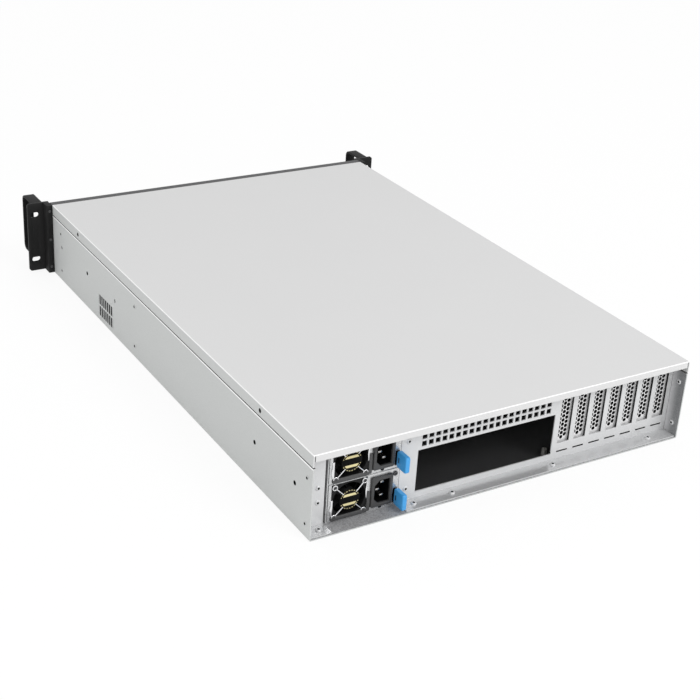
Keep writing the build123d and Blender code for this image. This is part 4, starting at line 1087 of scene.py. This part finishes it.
for number, mid in enumerate(PSU_MIDS, start=1):
    body = f"psu_{number}"
    made = rotor("supply_rotor", FAN_X, mid, PSU_FACE - 24.6, PSU_FACE - 1.0, SUPPLY_HUB_R, SUPPLY_TIP_R)
    give(f"supply_rotor_{number}", made, "black_plastic", f"psu_rotor_{number}", f"psu_fan_rotor_{number}")
    wires = wired("guard_wires", guard_paths(mid), 0.6, FINISHES["wire"])
    give(f"guard_wires_{number}", wires, "wire", body, f"psu_fan_guard_{number}")
    disc = turned("disc", [
        (DISC_R - 0.6, 0.1), (DISC_R - 0.1, 0.35), (DISC_R, 0.8), (DISC_R - 0.2, 1.15), (DISC_R - 0.6, 1.3),
    ], 64)
    disc = shaded(moved(disc, FAN_X, PSU_FACE, mid, FACE_REAR))
    give(f"guard_disc_{number}", disc, "black_plastic", body, finish=disc_label(mid))
    screws = [
        ((FAN_X + sx * GUARD_EYE, PSU_FACE + 0.2, mid + sz * GUARD_EYE), REARWARD) for sx, sz in GUARD_CORNERS
    ]
    fitted(f"guard_screws_{number}", pan_head(1.9, 1.4), screws, "dark_metal", body, seed=11 + number)
    give(f"fan_band_{number}", fan_bands(mid), "black_plastic", body, finish=FAN_BAND)
    give(f"spring_edges_{number}", spring_edges(mid), "wire", body)
    # A dark disc under the inlet: painted shade for a small hole
    notch_shade = turned("notch_shade", [(2.0, 0.0), (2.0, 0.12), (0.6, 0.14)], 24)
    notch_shade = moved(notch_shade, INLET_X, PSU_FACE, mid - 17.2, FACE_REAR)
    give(f"inlet_notch_{number}", notch_shade, "black_metal", body)
    face_screw = [((LEVER_X + 1.7, PSU_FACE, mid + 14.2), REARWARD)]
    fitted(f"face_screw_{number}", pan_head(2.4, 1.4), face_screw, "dark_metal", body, seed=21 + number)
    give(f"inlet_bezel_{number}", inlet_bezel(mid), "black_plastic", body, finish=BEZEL)
    node = f"psu_grip_{number}"
    blue = grip_plastic(middle(node)[2])
    give(f"lever_grip_{number}", lever_grip(node), "blue_plastic", f"psu_latch_{number}", node, finish=blue)
    softened(f"psu_inlet_{number}", 0.35, 2, inlet_plastic(mid))
    softened(f"psu_fan_frame_{number}", 0.5)
    softened(f"psu_lever_{number}", 0.3)

# Drive trays: softened faces, a release button and ribs on each lever, and two light pipes
TRAY_COUNT, RIB_COUNT, RIB_PITCH = 8, 7, 2.1
RIBS_X, RELEASE_X, LIGHTS_X, LIGHTS_SPREAD = -24.0, 35.0, 47.2, 3.6
TRAY_FRONT, TRAY_LEVER_FRONT = span("drive_tray_1")[0][1], span("tray_lever_1")[0][1]
rib = slab("rib", rounded_outline(0.9, 6.4, 0.4, 3), 0.5, 0.2, lambda u, v, w: (u, -v, w))
lens = shaded(turned("lens", [(1.2, -0.3), (1.2, 0.15), (0.95, 0.4), (0.5, 0.52), (0.15, 0.55)], 20), 60.0)
for number in range(1, TRAY_COUNT + 1):
    lever = f"tray_lever_{number}"
    x, z = middle(f"drive_tray_{number}")[0], middle(lever)[2]
    softened(f"drive_tray_{number}", 0.5, 2, sharp=40.0)
    softened(lever, 0.7)
    ribs = [((x + RIBS_X + RIB_PITCH * k, TRAY_LEVER_FRONT + 0.05, z), FORWARD) for k in range(RIB_COUNT)]
    fitted(f"tray_ribs_{number}", rib, ribs, "black_plastic", lever, turn=0.0)
    button = slab(
        "button", rounded_outline(9.0, 7.4, 1.4, 4), 1.0, 0.35,
        lambda u, v, w: (x + RELEASE_X + u, TRAY_LEVER_FRONT + 0.3 - w, z + v),
    )
    give(f"tray_release_{number}", shaded(button, 50.0), "blue_plastic", lever)
    lights = [((x + LIGHTS_X, TRAY_FRONT, z + rise), FORWARD) for rise in (-LIGHTS_SPREAD, LIGHTS_SPREAD)]
    fitted(f"tray_lights_{number}", lens, lights, "blue_plastic", f"tray_{number}", turn=0.0)

for side in ("right", "left"):
    softened(f"ear_{side}", 0.5, 2)
    softened(f"handle_{side}", 0.7, 3)

# System fans, whose domed hubs face the drive bays
SYSTEM_REAR, SYSTEM_FRONT, SYSTEM_HUB_R, SYSTEM_TIP_R = -62.2, -96.0, 16.0, 37.2
for number in (1, 2, 3):
    x, _, z = middle(f"fan_frame_{number}")
    made = rotor("system_rotor", x, z, SYSTEM_REAR, SYSTEM_FRONT, SYSTEM_HUB_R, SYSTEM_TIP_R)
    give(f"system_rotor_{number}", made, "black_plastic", f"fan_rotor_{number}", f"fan_rotor_{number}")

# Camera, as the fit of the chassis's corners to the photograph gives it
CAMERA_AZIMUTH, CAMERA_ELEVATION, CAMERA_ROLL = radians(147.82), radians(26.54), radians(3.66)
CAMERA_DISTANCE, CAMERA_RIGHT, CAMERA_UP = 1.59404, 0.01606, -0.00328
CAMERA_FOCAL_PX, PHOTO_PX, SENSOR = 1415.74, 700, 36.0

back = Vector((
    sin(CAMERA_AZIMUTH) * cos(CAMERA_ELEVATION),
    -cos(CAMERA_AZIMUTH) * cos(CAMERA_ELEVATION),
    sin(CAMERA_ELEVATION),
))
level = (-back).cross(Vector((0, 0, 1))).normalized()
upright = level.cross(-back)
right = level * cos(CAMERA_ROLL) + upright * sin(CAMERA_ROLL)
up = upright * cos(CAMERA_ROLL) - level * sin(CAMERA_ROLL)
eye = back * CAMERA_DISTANCE + level * CAMERA_RIGHT + upright * CAMERA_UP
camera = in_scene("camera", bpy.data.cameras.new("camera"))
camera.matrix_world = Matrix.Translation(eye) @ Matrix((right, up, back)).transposed().to_4x4()
camera.data.sensor_width = SENSOR
camera.data.lens = CAMERA_FOCAL_PX / PHOTO_PX * SENSOR
camera.data.clip_start, camera.data.clip_end = 0.05, 50.0
bpy.context.scene.camera = camera
bpy.context.scene.view_settings.view_transform = "Standard"


def lamp(name, place, target, size, power):
    """Round area lamp, with places and size in metres and its power in watts."""
    data = bpy.data.lights.new(name, "AREA")
    data.shape, data.size, data.energy = "DISK", size, power
    made = in_scene(name, data)
    made.location = place
    made.rotation_euler = (Vector(target) - Vector(place)).to_track_quat("-Z", "Y").to_euler()


lamp("key", (-0.9, 2.6, 2.3), (0.0, 0.2, 0.0), 1.6, 42.0)
lamp("fill", (2.4, 1.2, 1.4), (0.0, 0.0, 0.0), 1.8, 10.0)

# World: soft grey light, which the camera and reflections see as white
SKY_GREY = 0.82
world = bpy.data.worlds.new("studio")
bpy.context.scene.world = world
world.use_nodes = True
sky = world.node_tree.nodes["Background"]
sky.inputs["Strength"].default_value = 1.0
rays = world.node_tree.nodes.new("ShaderNodeLightPath")
backdrop = world.node_tree.nodes.new("ShaderNodeMix")
backdrop.data_type = "RGBA"
backdrop.inputs[6].default_value = (*grey(SKY_GREY), 1.0)
backdrop.inputs[7].default_value = (*grey(1.0), 1.0)
seen = rays.outputs["Is Camera Ray"]
for kind in ("Is Glossy Ray", "Is Transmission Ray"):
    total = world.node_tree.nodes.new("ShaderNodeMath")
    total.operation, total.use_clamp = "ADD", True
    world.node_tree.links.new(seen, total.inputs[0])
    world.node_tree.links.new(rays.outputs[kind], total.inputs[1])
    seen = total.outputs[0]
world.node_tree.links.new(seen, backdrop.inputs["Factor"])
world.node_tree.links.new(backdrop.outputs[2], sky.inputs["Color"])

# Floor: keeps the object's shadow, and glows for the same rays so that it meets the white backdrop
REACH, FLOOR_DROP, FLOOR_GLOW = 8000.0, 0.4, 0.9
corners = [(sx * REACH, sy * REACH, -FLOOR_DROP) for sx, sy in ((-1, -1), (1, -1), (1, 1), (-1, 1))]
floor = in_scene("floor", mesh_of("floor", corners, [(0, 1, 2, 3)]))
floor_finish = Finish("floor")
floor_tone = floor_finish.mix(floor_finish.grain(400.0), grey(0.93), grey(0.95))
floor_finish.set(Base_Color=floor_tone, Roughness=0.9)
glow = floor_finish.node("ShaderNodeEmission", None, {"Strength": 1.0})
rays = floor_finish.node("ShaderNodeLightPath").socket.node.outputs
seen = Wire(floor_finish, rays["Is Camera Ray"]) + Wire(floor_finish, rays["Is Glossy Ray"])
seen = (seen + Wire(floor_finish, rays["Is Transmission Ray"])).clamped()
both = floor_finish.node("ShaderNodeMixShader", None, {
    0: seen * FLOOR_GLOW, 1: Wire(floor_finish, floor_finish.shader.outputs[0]), 2: glow,
})
floor_finish.tree.links.new(both.socket, floor_finish.tree.nodes["Material Output"].inputs["Surface"])
floor.data.materials.append(floor_finish.material)
